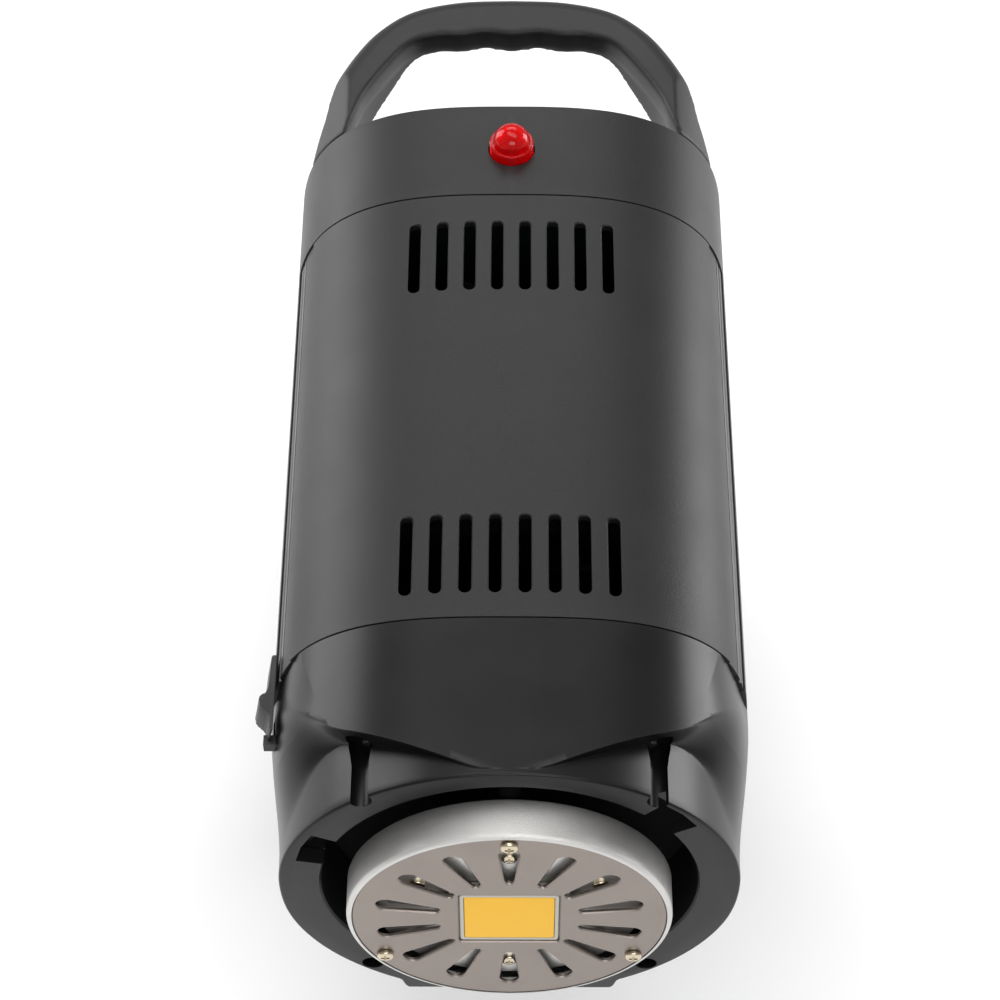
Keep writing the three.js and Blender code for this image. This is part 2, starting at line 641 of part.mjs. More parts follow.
function inletSocket() {
  const body = join(
    box(-13.5, 13.5, 256, FACE + 0.5, -9.8, 9.8),
    prism('y', roundedRectangle(-16.5, 16.5, -12.5, 12.5, 3), FACE, FACE + 2),
  );
  const cavity = shapeOf([[-11.8, -8], [11.8, -8], [11.8, 4], [7.8, 8], [-7.8, 8], [-11.8, 4]]);
  const blade = (x, z) => box(x - 1, x + 1, 257, 273, z - 2.5, z + 2.5);
  return join(body.subtract(prism('y', cavity, 259, 290)), blade(-7, -2.5), blade(7, -2.5), blade(0, 2.5))
    .translate([INLET.x, 0, INLET.z]);
}
add(head, 'inlet_socket', inletSocket(), 'dark');

function fuseHolder() {
  const body = turned([[0, 256], [6, 256], [6, FACE], [7.8, FACE], [7.8, FACE + 1.4], [6.8, FACE + 2],
    [4.4, FACE + 2], [4.4, 258], [0, 258]], 16);
  return body.translate([FUSE.x, 0, FUSE.z]);
}
add(head, 'fuse_holder', fuseHolder(), 'dark');

function fuseCap() {
  const cap = turned([[0, 262], [4, 262], [4, FACE + 2.3], [6, FACE + 2.3], [6, FACE + 5.4],
    [5.4, FACE + 6], [0, FACE + 6]], 16);
  const slot = box(-3.8, 3.8, FACE + 4.8, FACE + 7, -0.7, 0.7);
  return cap.subtract(slot).translate([FUSE.x, 0, FUSE.z]);
}
add(head, 'fuse_cap', fuseCap(), 'dark');

// ---- stand bracket, in the object's own frame ----
const EAR = { inner: 10.7, outer: 18.2 };
const PLATE_Z = HEAD_Z + PAD.z - GAP;

function tiltBlock() {
  const tongue = join(rod('x', TONGUE_R, -8.6, 8.6, 0, PIVOT_Z, 16), box(-8.6, 8.6, -13, 13, 24, PIVOT_Z));
  const socket = prism('z', roundedRectangle(-15, 15, -15, 15, 5), 0, 29);
  return cut(
    join(socket, tongue),
    rod('x', 4.4, -20, 20, 0, PIVOT_Z, 16),
    rod('z', SOCKET_R, -1, 24, 0, 0, 36),
    rod('x', 3.4, 0, 30, 0, 13, 16),
  );
}
add(object, 'tilt_block', tiltBlock(), 'dark');

function ear(side) {
  const [x0, x1] = side > 0 ? [EAR.inner, EAR.outer] : [-EAR.outer, -EAR.inner];
  return join(rod('x', TONGUE_R, x0, x1, 0, PIVOT_Z, 16), box(x0, x1, -TONGUE_R, TONGUE_R, PIVOT_Z, 68));
}

function bracketClevis() {
  const block = box(-EAR.outer, EAR.outer, -20, 20, 65, PLATE_Z);
  const plate = prism('z', roundedRectangle(-18.4, 18.4, -34, 34, 5), 76.2, PLATE_Z);
  const holes = BRACKET_SCREWS.map(([x, y]) => rod('z', 2.3, 70, 90, x, y, 8));
  return cut(
    join(block, plate, ear(1), ear(-1)),
    rod('x', 4.4, -30, 30, 0, PIVOT_Z, 16),
    rod('y', 4.8, -30, 30, 0, UMBRELLA_Z, 24),
    rod('x', 2.9, -30, 0, 0, UMBRELLA_Z, 16),
    ...holes,
  );
}
add(object, 'bracket_clevis', bracketClevis(), 'dark');

for (const [name, side] of [['left', -1], ['right', 1]]) {
  const washer = cut(
    rod('x', 12, 8.9, 10.4, 0, PIVOT_Z, 16),
    rod('x', 4.4, 8, 12, 0, PIVOT_Z, 16),
  );
  const placed = side > 0 ? washer : washer.mirror([1, 0, 0]);
  add(object, `friction_washer_${name}`, placed, 'dark');
}

const BOLT_END = 30;

function pivotBolt() {
  const hex = rod('x', 6.6, -24, -EAR.outer - GAP, 0, PIVOT_Z, 6);
  return join(hex, rod('x', 4, -EAR.outer - 1, BOLT_END, 0, PIVOT_Z, 16));
}
add(object, 'pivot_bolt', pivotBolt(), 'steel');

// A hand knob along X with finger hollows round its rim.
function handKnob(radius, from, to, hollows, z) {
  const tools = [];
  for (let i = 0; i < hollows; i += 1) {
    const [y, up] = polar(radius + radius * 0.16, (i * 360) / hollows);
    tools.push(rod('x', radius * 0.3, from + 3, to + 1, y, z + up, 8));
  }
  const edge = radius * 0.12;
  const profile = [[0, from], [radius * 0.62, from], [radius * 0.62, from + 2.6], [radius, from + 3.4],
    [radius, to - edge], [radius - edge, to], [0, to]];
  const blank = turned(profile, 20).rotate([0, 0, -90]).translate([0, 0, z]);
  return cut(blank, ...tools);
}

function tiltKnob() {
  return handKnob(16, EAR.outer + 0.4, 42, 6, PIVOT_Z)
    .subtract(rod('x', 4.3, 10, BOLT_END + 2, 0, PIVOT_Z, 16));
}
add(object, 'tilt_knob', tiltKnob(), 'dark');

const SPIGOT_SCREW_Z = 13;
const spigotScrew = rod('x', 3, 8.6, 17, 0, SPIGOT_SCREW_Z, 16);
const spigotKnob = join(handKnob(11, 15.6, 33, 5, SPIGOT_SCREW_Z), spigotScrew);
add(object, 'spigot_knob', spigotKnob, 'dark');

function umbrellaKnob() {
  const knob = handKnob(8.6, 18.9, 34, 5, 0).add(rod('x', 2.5, 5.2, 20, 0, 0, 16));
  return knob.mirror([1, 0, 0]).translate([0, 0, UMBRELLA_Z]);
}
add(object, 'umbrella_knob', umbrellaKnob(), 'dark');

BRACKET_SCREWS.forEach(([x, y], i) => {
  const screw = crossScrew('z', 3.6, 2.6, 2, 11).translate([x, y, 76.2 - GAP]);
  add(object, `bracket_screw_${i + 1}`, screw, 'steel');
});

export default object;
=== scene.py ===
import json
import math

import bmesh
import bpy
from mathutils import Matrix, Vector


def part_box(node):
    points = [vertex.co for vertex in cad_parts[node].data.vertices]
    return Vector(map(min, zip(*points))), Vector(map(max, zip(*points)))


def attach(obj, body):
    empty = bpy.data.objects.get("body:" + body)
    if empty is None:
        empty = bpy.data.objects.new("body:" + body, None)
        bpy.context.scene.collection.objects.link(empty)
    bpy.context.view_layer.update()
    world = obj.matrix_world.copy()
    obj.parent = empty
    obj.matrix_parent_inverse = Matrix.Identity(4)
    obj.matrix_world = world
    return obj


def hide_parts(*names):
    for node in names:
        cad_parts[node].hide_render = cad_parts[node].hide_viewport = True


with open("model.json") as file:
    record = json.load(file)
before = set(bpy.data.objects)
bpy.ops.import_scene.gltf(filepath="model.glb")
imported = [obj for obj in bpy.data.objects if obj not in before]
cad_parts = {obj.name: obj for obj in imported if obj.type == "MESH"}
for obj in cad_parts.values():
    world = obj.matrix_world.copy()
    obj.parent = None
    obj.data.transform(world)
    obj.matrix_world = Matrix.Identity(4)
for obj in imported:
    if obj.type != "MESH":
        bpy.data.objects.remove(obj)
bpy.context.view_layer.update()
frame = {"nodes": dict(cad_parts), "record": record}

# ---- frame: the head is drawn in millimetres about the middle of the front ring's face ----
MM = 0.001
MOUNTS = {m["name"]: m for m in frame["record"]["mounts"]}
RING_FACE = MOUNTS["ring_face"]["pos_m"]
HEAD = Vector((0, RING_FACE[1], RING_FACE[2]))
ORIGIN = Vector((0, 0, 0))


def head_box(node):
    low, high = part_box(node)
    return (low - HEAD) / MM, (high - HEAD) / MM


CAP_LOW, CAP_HIGH = head_box("rear_cap")
TOP_LOW, TOP_HIGH = head_box("body_top_cover")
BOTTOM_LOW, BOTTOM_HIGH = head_box("body_bottom_cover")
RAIL_LOW, RAIL_HIGH = head_box("side_rail_right")
CUP_LOW, CUP_HIGH = head_box("reflector_cup")
PLATE_LOW, PLATE_HIGH = head_box("emitter_plate")
DOME_LOW, DOME_HIGH = head_box("slave_dome")
HANDLE_LOW = head_box("handle")[0]
LATCH_LOW = head_box("latch_slider")[0]
PANEL_LOW, PANEL_HIGH = head_box("rear_panel")

CASING_A, CASING_TOP, CASING_BOTTOM, CASING_N = CAP_HIGH.x, CAP_HIGH.z, -CAP_LOW.z, 2.9
SEAM_FRONT, SEAM_REAR = TOP_LOW.y, TOP_HIGH.y
WALL = 2.6
BORE_R, LUG_R, LIP, CHANNEL_END, FLOOR_Y, FLOOR_T = 60.0, 69.0, 4.2, 11.5, 26.0, 2.5
RING_A, RING_TOP, RING_LOWER = 73.5, CASING_TOP, 74.0

# ---- camera, lights and floor ----
CAMERA_AT = Vector((1.43, -453.3, 811.1)) * MM + HEAD
CAMERA_RIGHT = Vector((0.99998, 0.00491, -0.00272))
CAMERA_UP = Vector((-0.00231, 0.80073, 0.599))
CAMERA_LENS = 104.1
FLOOR_Z = -0.3    # just under the stand socket, in millimetres


def make_camera():
    data = bpy.data.cameras.new("camera")
    data.lens, data.sensor_width = CAMERA_LENS, 36
    data.clip_start, data.clip_end = 0.05, 20
    camera = bpy.data.objects.new("camera", data)
    back = CAMERA_RIGHT.cross(CAMERA_UP).normalized()
    up = back.cross(CAMERA_RIGHT).normalized()
    facing = Matrix((CAMERA_RIGHT.normalized(), up, back)).transposed()
    camera.matrix_world = Matrix.Translation(CAMERA_AT) @ facing.to_4x4()
    bpy.context.scene.collection.objects.link(camera)
    bpy.context.scene.camera = camera


def area_light(name, at, target, size, power):
    data = bpy.data.lights.new(name, "AREA")
    data.shape, data.size, data.size_y, data.energy = "RECTANGLE", size[0], size[1], power
    light = bpy.data.objects.new(name, data)
    light.location = at
    light.rotation_mode = "QUATERNION"
    light.rotation_quaternion = (Vector(target) - Vector(at)).to_track_quat("-Z", "Y")
    bpy.context.scene.collection.objects.link(light)


def make_studio():
    world = bpy.data.worlds.new("studio")
    world.use_nodes = True
    world.node_tree.nodes["Background"].inputs["Color"].default_value = (1, 1, 1, 1)
    world.node_tree.nodes["Background"].inputs["Strength"].default_value = 0.42
    bpy.context.scene.world = world
    bpy.context.scene.view_settings.view_transform = "Standard"
    area_light("left_softbox", (-1.15, 0.85, 0.62), (0, 0.05, 0.12), (0.75, 1.1), 13)
    area_light("right_softbox", (1.3, 0.65, 0.3), (0, 0.0, 0.12), (0.6, 0.9), 13)
    area_light("front_softbox", (0.15, -1.7, 1.5), (0, -0.15, 0.12), (1.3, 0.8), 15)
    area_light("top_softbox", (0.1, 0.2, 2.6), (0, 0, 0), (2.6, 1.0), 26)
    area_light("back_softbox", (0, 2.0, 1.9), (0, 0.1, 0.2), (1.8, 0.9), 18)
    bm = bmesh.new()
    bmesh.ops.create_grid(bm, x_segments=8, y_segments=8, size=6)
    mesh = bpy.data.meshes.new("floor")
    bm.to_mesh(mesh)
    bm.free()
    floor = bpy.data.objects.new("floor", mesh)
    floor.location.z = FLOOR_Z * MM
    bpy.context.scene.collection.objects.link(floor)
    floor.data.materials.append(surface("floor_white", (0.93, 0.93, 0.93), 0.9, mottle=0.005))


# ---- materials: every one varies in colour and roughness, and those given grain in relief too ----
def surface(name, color, rough, metal=0.0, grain=0.0, size=0.5, mottle=0.06, wear=0.0, **more):
    """grain is the relief height share, size the grain's width in millimetres."""
    mat = bpy.data.materials.new(name)
    mat.use_nodes = True
    nodes, links = mat.node_tree.nodes, mat.node_tree.links
    bsdf = nodes["Principled BSDF"]
    bsdf.inputs["Metallic"].default_value = metal
    for key, value in more.items():
        bsdf.inputs[key.replace("_", " ")].default_value = value
    place = nodes.new("ShaderNodeTexCoord")
    cloud = nodes.new("ShaderNodeTexNoise")
    cloud.inputs["Scale"].default_value = 60
    cloud.inputs["Detail"].default_value = 4
    links.new(place.outputs["Object"], cloud.inputs["Vector"])
    ramp = nodes.new("ShaderNodeMix")
    ramp.data_type = "RGBA"
    ramp.inputs[6].default_value = (*[c * (1 - mottle) for c in color], 1)
    ramp.inputs[7].default_value = (*[min(1, c * (1 + mottle)) for c in color], 1)
    links.new(cloud.outputs["Fac"], ramp.inputs[0])
    tint = ramp.outputs[2]
    if wear:
        geometry = nodes.new("ShaderNodeNewGeometry")
        edge = nodes.new("ShaderNodeMapRange")
        edge.inputs["From Min"].default_value = 0.53
        edge.inputs["From Max"].default_value = 0.62
        edge.inputs["To Max"].default_value = wear
        links.new(geometry.outputs["Pointiness"], edge.inputs["Value"])
        worn = nodes.new("ShaderNodeMix")
        worn.data_type = "RGBA"
        worn.inputs[7].default_value = (*[min(1, c * 1.8 + 0.02) for c in color], 1)
        links.new(edge.outputs["Result"], worn.inputs[0])
        links.new(tint, worn.inputs[6])
        tint = worn.outputs[2]
    links.new(tint, bsdf.inputs["Base Color"])
    spread = nodes.new("ShaderNodeMapRange")
    spread.inputs["To Min"].default_value = max(0.02, rough - 0.05)
    spread.inputs["To Max"].default_value = rough + 0.05
    links.new(cloud.outputs["Fac"], spread.inputs["Value"])
    links.new(spread.outputs["Result"], bsdf.inputs["Roughness"])
    if grain:
        fine = nodes.new("ShaderNodeTexNoise")
        fine.inputs["Scale"].default_value = 1 / (size * MM)
        fine.inputs["Detail"].default_value = 2
        links.new(place.outputs["Object"], fine.inputs["Vector"])
        bump = nodes.new("ShaderNodeBump")
        bump.inputs["Strength"].default_value = grain
        bump.inputs["Distance"].default_value = size * MM * 0.5
        links.new(fine.outputs["Fac"], bump.inputs["Height"])
        links.new(bump.outputs["Normal"], bsdf.inputs["Normal"])
    return mat


def make_materials():
    made = {
        "casing_grain": surface("casing_grain", (0.011, 0.011, 0.0115), 0.42, grain=0.35, size=0.4, wear=0.25,
                                Specular_IOR_Level=0.3),
        "casing_satin": surface("casing_satin", (0.003, 0.003, 0.0032), 0.31, grain=0.06, size=0.4, wear=0.25,
                                Specular_IOR_Level=0.27),
        "black_plastic": surface("black_plastic", (0.01, 0.01, 0.0105), 0.42, grain=0.1, size=0.4, wear=0.25,
                                 Specular_IOR_Level=0.4),
        "cup_silver": surface("cup_silver", (0.66, 0.65, 0.635), 0.4, 0.95, grain=1.0, size=0.3, mottle=0.12),
        "plate_warm": surface("plate_warm", (0.29, 0.25, 0.226), 0.34, 0.9, grain=0.12, size=0.3, mottle=0.12),
        "steel": surface("steel", (0.6, 0.6, 0.62), 0.22, 1.0, grain=0.05, size=0.3),
        "alloy": surface("alloy", (0.85, 0.84, 0.82), 0.42, 0.9, grain=0.1, size=0.6),
        "anodised": surface("anodised", (0.02, 0.02, 0.022), 0.5, 0.4, grain=0.1, size=0.6),
        "nickel_warm": surface("nickel_warm", (0.66, 0.57, 0.42), 0.2, 1.0, grain=0.05, size=0.3),
        "phosphor": surface("phosphor", (0.9, 0.5, 0.025), 0.55, grain=0.12, size=0.3, mottle=0.05),
        "board_white": surface("board_white", (0.5, 0.48, 0.42), 0.5, grain=0.05, size=0.4),
        "red_lens": surface("red_lens", (1.0, 0.0, 0.002), 0.03, mottle=0.02, Transmission_Weight=0.68, IOR=1.33),
        "board_green": surface("board_green", (0.004, 0.018, 0.009), 0.5, grain=0.1, size=0.8, mottle=0.2),
        "winding": surface("winding", (0.16, 0.09, 0.02), 0.4, grain=0.2, size=1.2, mottle=0.2),
        "capacitor_sleeve": surface("capacitor_sleeve", (0.02, 0.04, 0.14), 0.25, grain=0.05, size=0.6),
        "display_glass": surface("display_glass", (0.01, 0.014, 0.016), 0.08, mottle=0.02),
        "bracket_black": surface("bracket_black", (0.015, 0.015, 0.016), 0.5, 0.2, grain=0.4, size=0.8, wear=0.6),
        "friction": surface("friction", (0.1, 0.06, 0.04), 0.8, grain=0.3, size=0.5, mottle=0.2),
        "print_white": surface("print_white", (0.7, 0.7, 0.7), 0.6),
        # dull black: the wire harness's own colour, and painted shade inside the front housing's bore
        "dark_wire_and_painted_shade": surface("dark_wire_and_painted_shade", (0.006, 0.006, 0.0065), 0.75, grain=0.1, size=0.6,
                              Specular_IOR_Level=0.15),
    }
    return made


make_camera()
make_studio()
MATERIALS = make_materials()


# ---- mesh tools ----
def raw(name, verts, faces):
    mesh = bpy.data.meshes.new(name)
    mesh.from_pydata([tuple(v) for v in verts], [], faces)
    mesh.update()
    obj = bpy.data.objects.new(name, mesh)
    bpy.context.scene.collection.objects.link(obj)
    bm = bmesh.new()
    bm.from_mesh(mesh)
    bmesh.ops.remove_doubles(bm, verts=bm.verts, dist=1e-5)
    bmesh.ops.recalc_face_normals(bm, faces=bm.faces)
    bm.to_mesh(mesh)
    bm.free()
    return obj


def loft(name, loops, close_ends=True, ring=False):
    """Joins closed loops of equal length by bands of quads."""
    count = len(loops[0])
    verts = [p for loop in loops for p in loop]
    faces = []
    bands = len(loops) if ring else len(loops) - 1
    for i in range(bands):
        j = (i + 1) % len(loops)
        for k in range(count):
            m = (k + 1) % count
            faces.append((i * count + k, i * count + m, j * count + m, j * count + k))
    if close_ends and not ring:
        faces.append(tuple(reversed(range(count))))
        faces.append(tuple((len(loops) - 1) * count + k for k in range(count)))
    return raw(name, verts, faces)


PLANES = {
    "x": lambda u, v, w: (w, u, v),
    "y": lambda u, v, w: (u, w, v),
    "z": lambda u, v, w: (u, v, w),
}


def prism(name, axis, outline, low, high):
    place = PLANES[axis]
    return loft(name, [[place(u, v, w) for u, v in outline] for w in (low, high)])


def turned(name, axis, profile, sides=64, centre=(0, 0), start=0.0):
    """Turns (radius, along) points about an axis through centre. Ends on the axis are closed."""
    place = PLANES[axis]
    loops = []
    for k in range(sides):
        t = start + 2 * math.pi * k / sides
        c, s = math.cos(t), math.sin(t)
        loops.append([place(centre[0] + r * c, centre[1] + r * s, w) for r, w in profile])
    count = len(profile)
    verts = [p for loop in loops for p in loop]
    faces = []
    closed = profile[0][0] > 1e-6
    for i in range(sides):
        j = (i + 1) % sides
        for k in range(count if closed else count - 1):
            m = (k + 1) % count
            faces.append((i * count + k, i * count + m, j * count + m, j * count + k))
    return raw(name, verts, faces)


def rod(name, axis, radius, low, high, centre=(0, 0), sides=32):
    return turned(name, axis, [(0, low), (radius, low), (radius, high), (0, high)], sides, centre)


def block(name, x0, x1, y0, y1, z0, z1):
    outline = [(x0, y0), (x1, y0), (x1, y1), (x0, y1)]
    return prism(name, "z", outline, z0, z1)


def rounded(x0, x1, z0, z1, r, steps=6):
    points = []
    for cx, cz, first in ((x1 - r, z0 + r, -90), (x1 - r, z1 - r, 0), (x0 + r, z1 - r, 90), (x0 + r, z0 + r, 180)):
        for k in range(steps + 1):
            t = math.radians(first + 90 * k / steps)
            points.append((cx + r * math.cos(t), cz + r * math.sin(t)))
    return points


def polar(r, degrees):
    return r * math.cos(math.radians(degrees)), r * math.sin(math.radians(degrees))


def bake(obj):
    """Applies every modifier on obj."""
    graph = bpy.context.evaluated_depsgraph_get()
    mesh = bpy.data.meshes.new_from_object(obj.evaluated_get(graph))
    old = obj.data
    obj.modifiers.clear()
    obj.data = mesh
    bpy.data.meshes.remove(old)
    return obj


def combine(obj, tools, operation="DIFFERENCE", solver="EXACT"):
    for tool in tools:
        step = obj.modifiers.new("combine", "BOOLEAN")
        step.operation, step.object, step.solver = operation, tool, solver
    bpy.context.view_layer.update()
    bake(obj)
    for tool in tools:
        mesh = tool.data
        bpy.data.objects.remove(tool)
        bpy.data.meshes.remove(mesh)
    return obj


def turn(obj, degrees, axis="Y", about=(0, 0, 0)):
    centre = Matrix.Translation(Vector(about))
    obj.data.transform(centre @ Matrix.Rotation(math.radians(degrees), 4, axis) @ centre.inverted())
    return obj


def move(obj, x=0.0, y=0.0, z=0.0):
    obj.data.transform(Matrix.Translation((x, y, z)))
    return obj


def flip_x(obj):
    obj.data.transform(Matrix.Scale(-1, 4, (1, 0, 0)))
    obj.data.flip_normals()
    return obj


def round_edges(obj, width, segments=2, angle=35):
    step = obj.modifiers.new("round", "BEVEL")
    step.width, step.segments, step.limit_method = width, segments, "ANGLE"
    step.angle_limit = math.radians(angle)
    step.use_clamp_overlap = True
    bpy.context.view_layer.update()
    return bake(obj)


def shade(obj, angle=32, normal_at=None):
    """Smooths every edge flatter than angle. normal_at gives the true surface's normal at a point."""
    bm = bmesh.new()
    bm.from_mesh(obj.data)
    limit = math.radians(angle)
    for face in bm.faces:
        face.smooth = True
    for edge in bm.edges:
        edge.smooth = len(edge.link_faces) == 2 and edge.calc_face_angle(0) < limit
    bm.to_mesh(obj.data)
    bm.free()
    if normal_at is None:
        return obj
    mesh = obj.data
    normals = [item.vector.copy() for item in mesh.corner_normals]
    for face in mesh.polygons:
        for i in face.loop_indices:
            true = normal_at(mesh.vertices[mesh.loops[i].vertex_index].co)
            if true is not None and true.dot(face.normal) > 0.97:
                normals[i] = true
    mesh.normals_split_custom_set(normals)
    return obj


def fit(obj, body, material, nodes=(), origin=HEAD, angle=32, normal_at=None):
    """Puts a piece drawn in millimetres into the row frame and onto its body."""
    shade(obj, angle, normal_at)
    obj.data.transform(Matrix.Translation(origin) @ Matrix.Scale(MM, 4))
    obj.data.materials.clear()
    obj.data.materials.append(MATERIALS[material])
    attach(obj, body)
    if nodes:
        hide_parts(*nodes)
    return obj


# ---- casing outlines ----
def casing_radius(t, grow=0.0):
    b = (CASING_TOP if math.sin(t) >= 0 else CASING_BOTTOM) + grow
    u = abs(math.cos(t)) / (CASING_A + grow)
    v = abs(math.sin(t)) / b
    return (u ** CASING_N + v ** CASING_N) ** (-1 / CASING_N)


def casing_point(t, grow=0.0):
    r = casing_radius(t, grow)
    return r * math.cos(t), r * math.sin(t)


def casing_normal(point):
    b = CASING_TOP if point.z >= 0 else CASING_BOTTOM
    power = CASING_N - 1
    across = math.copysign(abs(point.x / CASING_A) ** power / CASING_A, point.x)
    up = math.copysign(abs(point.z / b) ** power / b, point.z)
    return Vector((across, 0, up)).normalized()


def casing_loop(y, grow=0.0, count=180):
    return [(x, y, z) for x, z in (casing_point(2 * math.pi * k / count, grow) for k in range(count))]


def angle_at_height(z, grow=0.0):
    """The angle on the right side at which the casing passes height z."""
    low, high = (0.0, math.pi / 2) if z >= 0 else (-math.pi / 2, 0.0)
    for _ in range(40):
        middle = (low + high) / 2
        if casing_point(middle, grow)[1] < z:
            low = middle
        else:
            high = middle
    return (low + high) / 2


def shell_section(first, last, step_angles=(), count=120, grow=0.0, wall=WALL):
    """Closed section of a cover from angle first to last. Past a step angle it sits lower."""
    outer = []
    for k in range(count + 1):
        t = first + (last - first) * k / count
        outer.append((t, grow))
    for at, side, drop in step_angles:
        outer = [(t, g - drop if (t - at) * side < 0 else g) for t, g in outer]
        outer += [(at - side * 1e-4, grow - drop), (at + side * 1e-4, grow)]
    outer.sort(key=lambda item: item[0])
    points = [casing_point(t, g) for t, g in outer]
    inner = [casing_point(last + (first - last) * k / 48, -wall) for k in range(49)]
    return points + inner


def cover(name, first, last, steps):
    """A cover between the two seams, with its end edges eased."""
    sharp, ease = 0.12, 0.35
    places = [(SEAM_FRONT, -sharp), (SEAM_FRONT + sharp, 0.0)]
    rows = 24
    for k in range(1, rows):
        places.append((SEAM_FRONT + (SEAM_REAR - SEAM_FRONT) * k / rows, 0.0))
    places += [(SEAM_REAR - ease, 0.0), (SEAM_REAR, -ease)]
    loops = []
    for y, grow in places:
        loops.append([(x, y, z) for x, z in shell_section(first, last, steps, grow=grow)])
    return loft(name, loops)


# ---- covers ----
VENT_COUNT, VENT_PITCH, VENT_WIDTH = 8, 9.5, 4.0
VENT_ROWS = ((67.0, 97.4), (192.5, 223.5))
VENT_EASE = 0.45


def capsule(x, y0, y1, r, steps=8):
    points = []
    for cy, first in ((y1 - r, 0), (y0 + r, 180)):
        for k in range(steps + 1):
            t = math.radians(first + 180 * k / steps)
            points.append((x + r * math.cos(t), cy + r * math.sin(t)))
    return points


def vent_tool(x, y0, y1):
    t = math.acos(max(-1, min(1, x / CASING_A)))
    top = casing_point(t)[1]
    for _ in range(4):
        t = math.atan2(top, x)
        top = casing_point(t)[1]
    r = VENT_WIDTH / 2
    loops = []
    for z, grow in ((top - 8, 0), (top - VENT_EASE, 0), (top + 0.15, VENT_EASE), (top + 3, VENT_EASE)):
        loops.append([(u, v, z) for u, v in capsule(x, y0 - grow, y1 + grow, r + grow)])
    return loft("vent_tool", loops)


def make_top_cover():
    low = TOP_LOW.z
    start = angle_at_height(low)
    ledge = angle_at_height(42.0)
    steps = ((ledge, 1, 0.55), (math.pi - ledge, -1, 0.55))
    obj = cover("top_cover", start, math.pi - start, steps)
    tools = []
    for y0, y1 in VENT_ROWS:
        for i in range(VENT_COUNT):
            tools.append(vent_tool((i - (VENT_COUNT - 1) / 2) * VENT_PITCH, y0, y1))
    combine(obj, tools)
    fit(obj, "head", "casing_grain", ["body_top_cover"], normal_at=casing_normal)


def make_bottom_cover():
    high = BOTTOM_HIGH.z
    start = angle_at_height(high)
    obj = cover("bottom_cover", -math.pi - start, start, ())
    pad = round_edges(block("pad", -20, 20, 114, 186, BOTTOM_LOW.z, -62), 1.0)
    combine(obj, [pad], "UNION")
    fit(obj, "head", "casing_grain", ["body_bottom_cover"], normal_at=casing_normal)


def make_rail(name, side, node):
    low, high = angle_at_height(RAIL_LOW.z), angle_at_height(RAIL_HIGH.z)
    groove = angle_at_height(31.0)
    points = []
    for k in range(25):
        t = low + (high - low) * k / 24
        dip = 0.7 * math.exp(-((t - groove) / 0.008) ** 2)
        points.append(casing_point(t, -0.5 - dip))
    points += [casing_point(high + (low - high) * k / 8, -WALL) for k in range(9)]
    loops = [[(side * x, y, z) for x, z in points] for y in (SEAM_FRONT, SEAM_REAR)]
    fit(loft(name, loops), "head", "casing_satin", [node])


# ---- rear cap ----
def make_rear_cap():
    y0, y1 = CAP_LOW.y, CAP_HIGH.y
    ease = 0.1
    edge = 1.4
    loops = [casing_loop(y0, -ease), casing_loop(y0 + ease)]
    for k in range(1, 6):
        loops.append(casing_loop(y0 + (y1 - y0) * k / 6))
    for k in range(7):
        t = math.radians(90 * k / 6)
        loops.append(casing_loop(y1 - edge + edge * math.sin(t), -edge * (1 - math.cos(t))))
    obj = loft("rear_cap_shell", loops)
    cavity = loft("cavity", [casing_loop(y0 - 1, -WALL), casing_loop(PANEL_HIGH.y + 0.3, -WALL)])
    opening = loft("opening", [
        [(x, y, z) for x, z in rounded(-53 - g, 53 + g, -53 - g, 33 + g, 9 + g)]
        for y, g in ((270, 0), (y1 - 1.2, 0), (y1 + 0.2, 1.4), (y1 + 1, 1.4))])
    hole = turned("hole", "z", [(0, 60), (8.1, 60), (8.1, 67.2), (8.5, 68), (8.5, 80), (0, 80)], 48,
                  (0, (DOME_LOW.y + DOME_HIGH.y) / 2))
    combine(obj, [cavity, opening, hole])
    fit(obj, "head", "casing_grain", ["rear_cap"], normal_at=casing_normal)


# ---- front housing ----
def smooth(x):
    x = max(0.0, min(1.0, x))
    return x * x * (3 - 2 * x)


FOOT_X, FOOT_Z = 34.0, -70.0


def ring_radius(t):
    s = math.sin(t)
    if s >= 0:
        return 1 / math.hypot(math.cos(t) / RING_A, s / RING_TOP)
    off = abs(math.degrees(t % (2 * math.pi)) - 270)
    flat = FOOT_Z / s
    corner = math.degrees(math.atan(FOOT_X / -FOOT_Z))
    side = RING_A + (RING_LOWER - RING_A) * smooth((90 - off) / 20)
    return flat if off < corner else side + (flat_end() - side) * (1 - smooth((off - corner) / 4))


def flat_end():
    return math.hypot(FOOT_X, FOOT_Z)


def brow(x):
    """Where the casing steps down to the ring, seen from above."""
    x = abs(x)
    ramp = 0.44 * (math.log1p(math.exp((x - 10) / 1.5)) * 1.5)
    return 2 + ramp + 0.15 * max(0.0, x - 55)


CREASE_FOOT, CREASE_SEAM = (21.7, 46.5), (57.4, 35.9)


def lift_of(t):
    """Degrees above the middle of the nearer side, and whether t is in the upper half."""
    degrees = math.degrees(t) % 360
    upper = degrees <= 180
    lifted = degrees if upper else 360 - degrees
    return min(lifted, 180 - lifted), upper


CHEEK_MIDDLE, CHEEK_WIDTH, BROW_WIDTH = 27.5, 46.0, 0.7


def step_of(t):
    """Depth of the middle of the step from ring to casing at angle t, and the step's width."""
    lifted, upper = lift_of(t)
    if not upper:
        return CHEEK_MIDDLE, CHEEK_WIDTH
    middle = brow(casing_radius(t) * math.cos(t)) + BROW_WIDTH / 2
    sharp = smooth((lifted - 10) / (CREASE_FOOT[1] + 4 - 10))
    return CHEEK_MIDDLE + (middle - CHEEK_MIDDLE) * sharp, CHEEK_WIDTH + (BROW_WIDTH - CHEEK_WIDTH) * sharp


def shell_radius(t, y):
    ring = ring_radius(t)
    middle, width = step_of(t)
    return ring + (casing_radius(t) - ring) * smooth((y - middle + width / 2) / width)


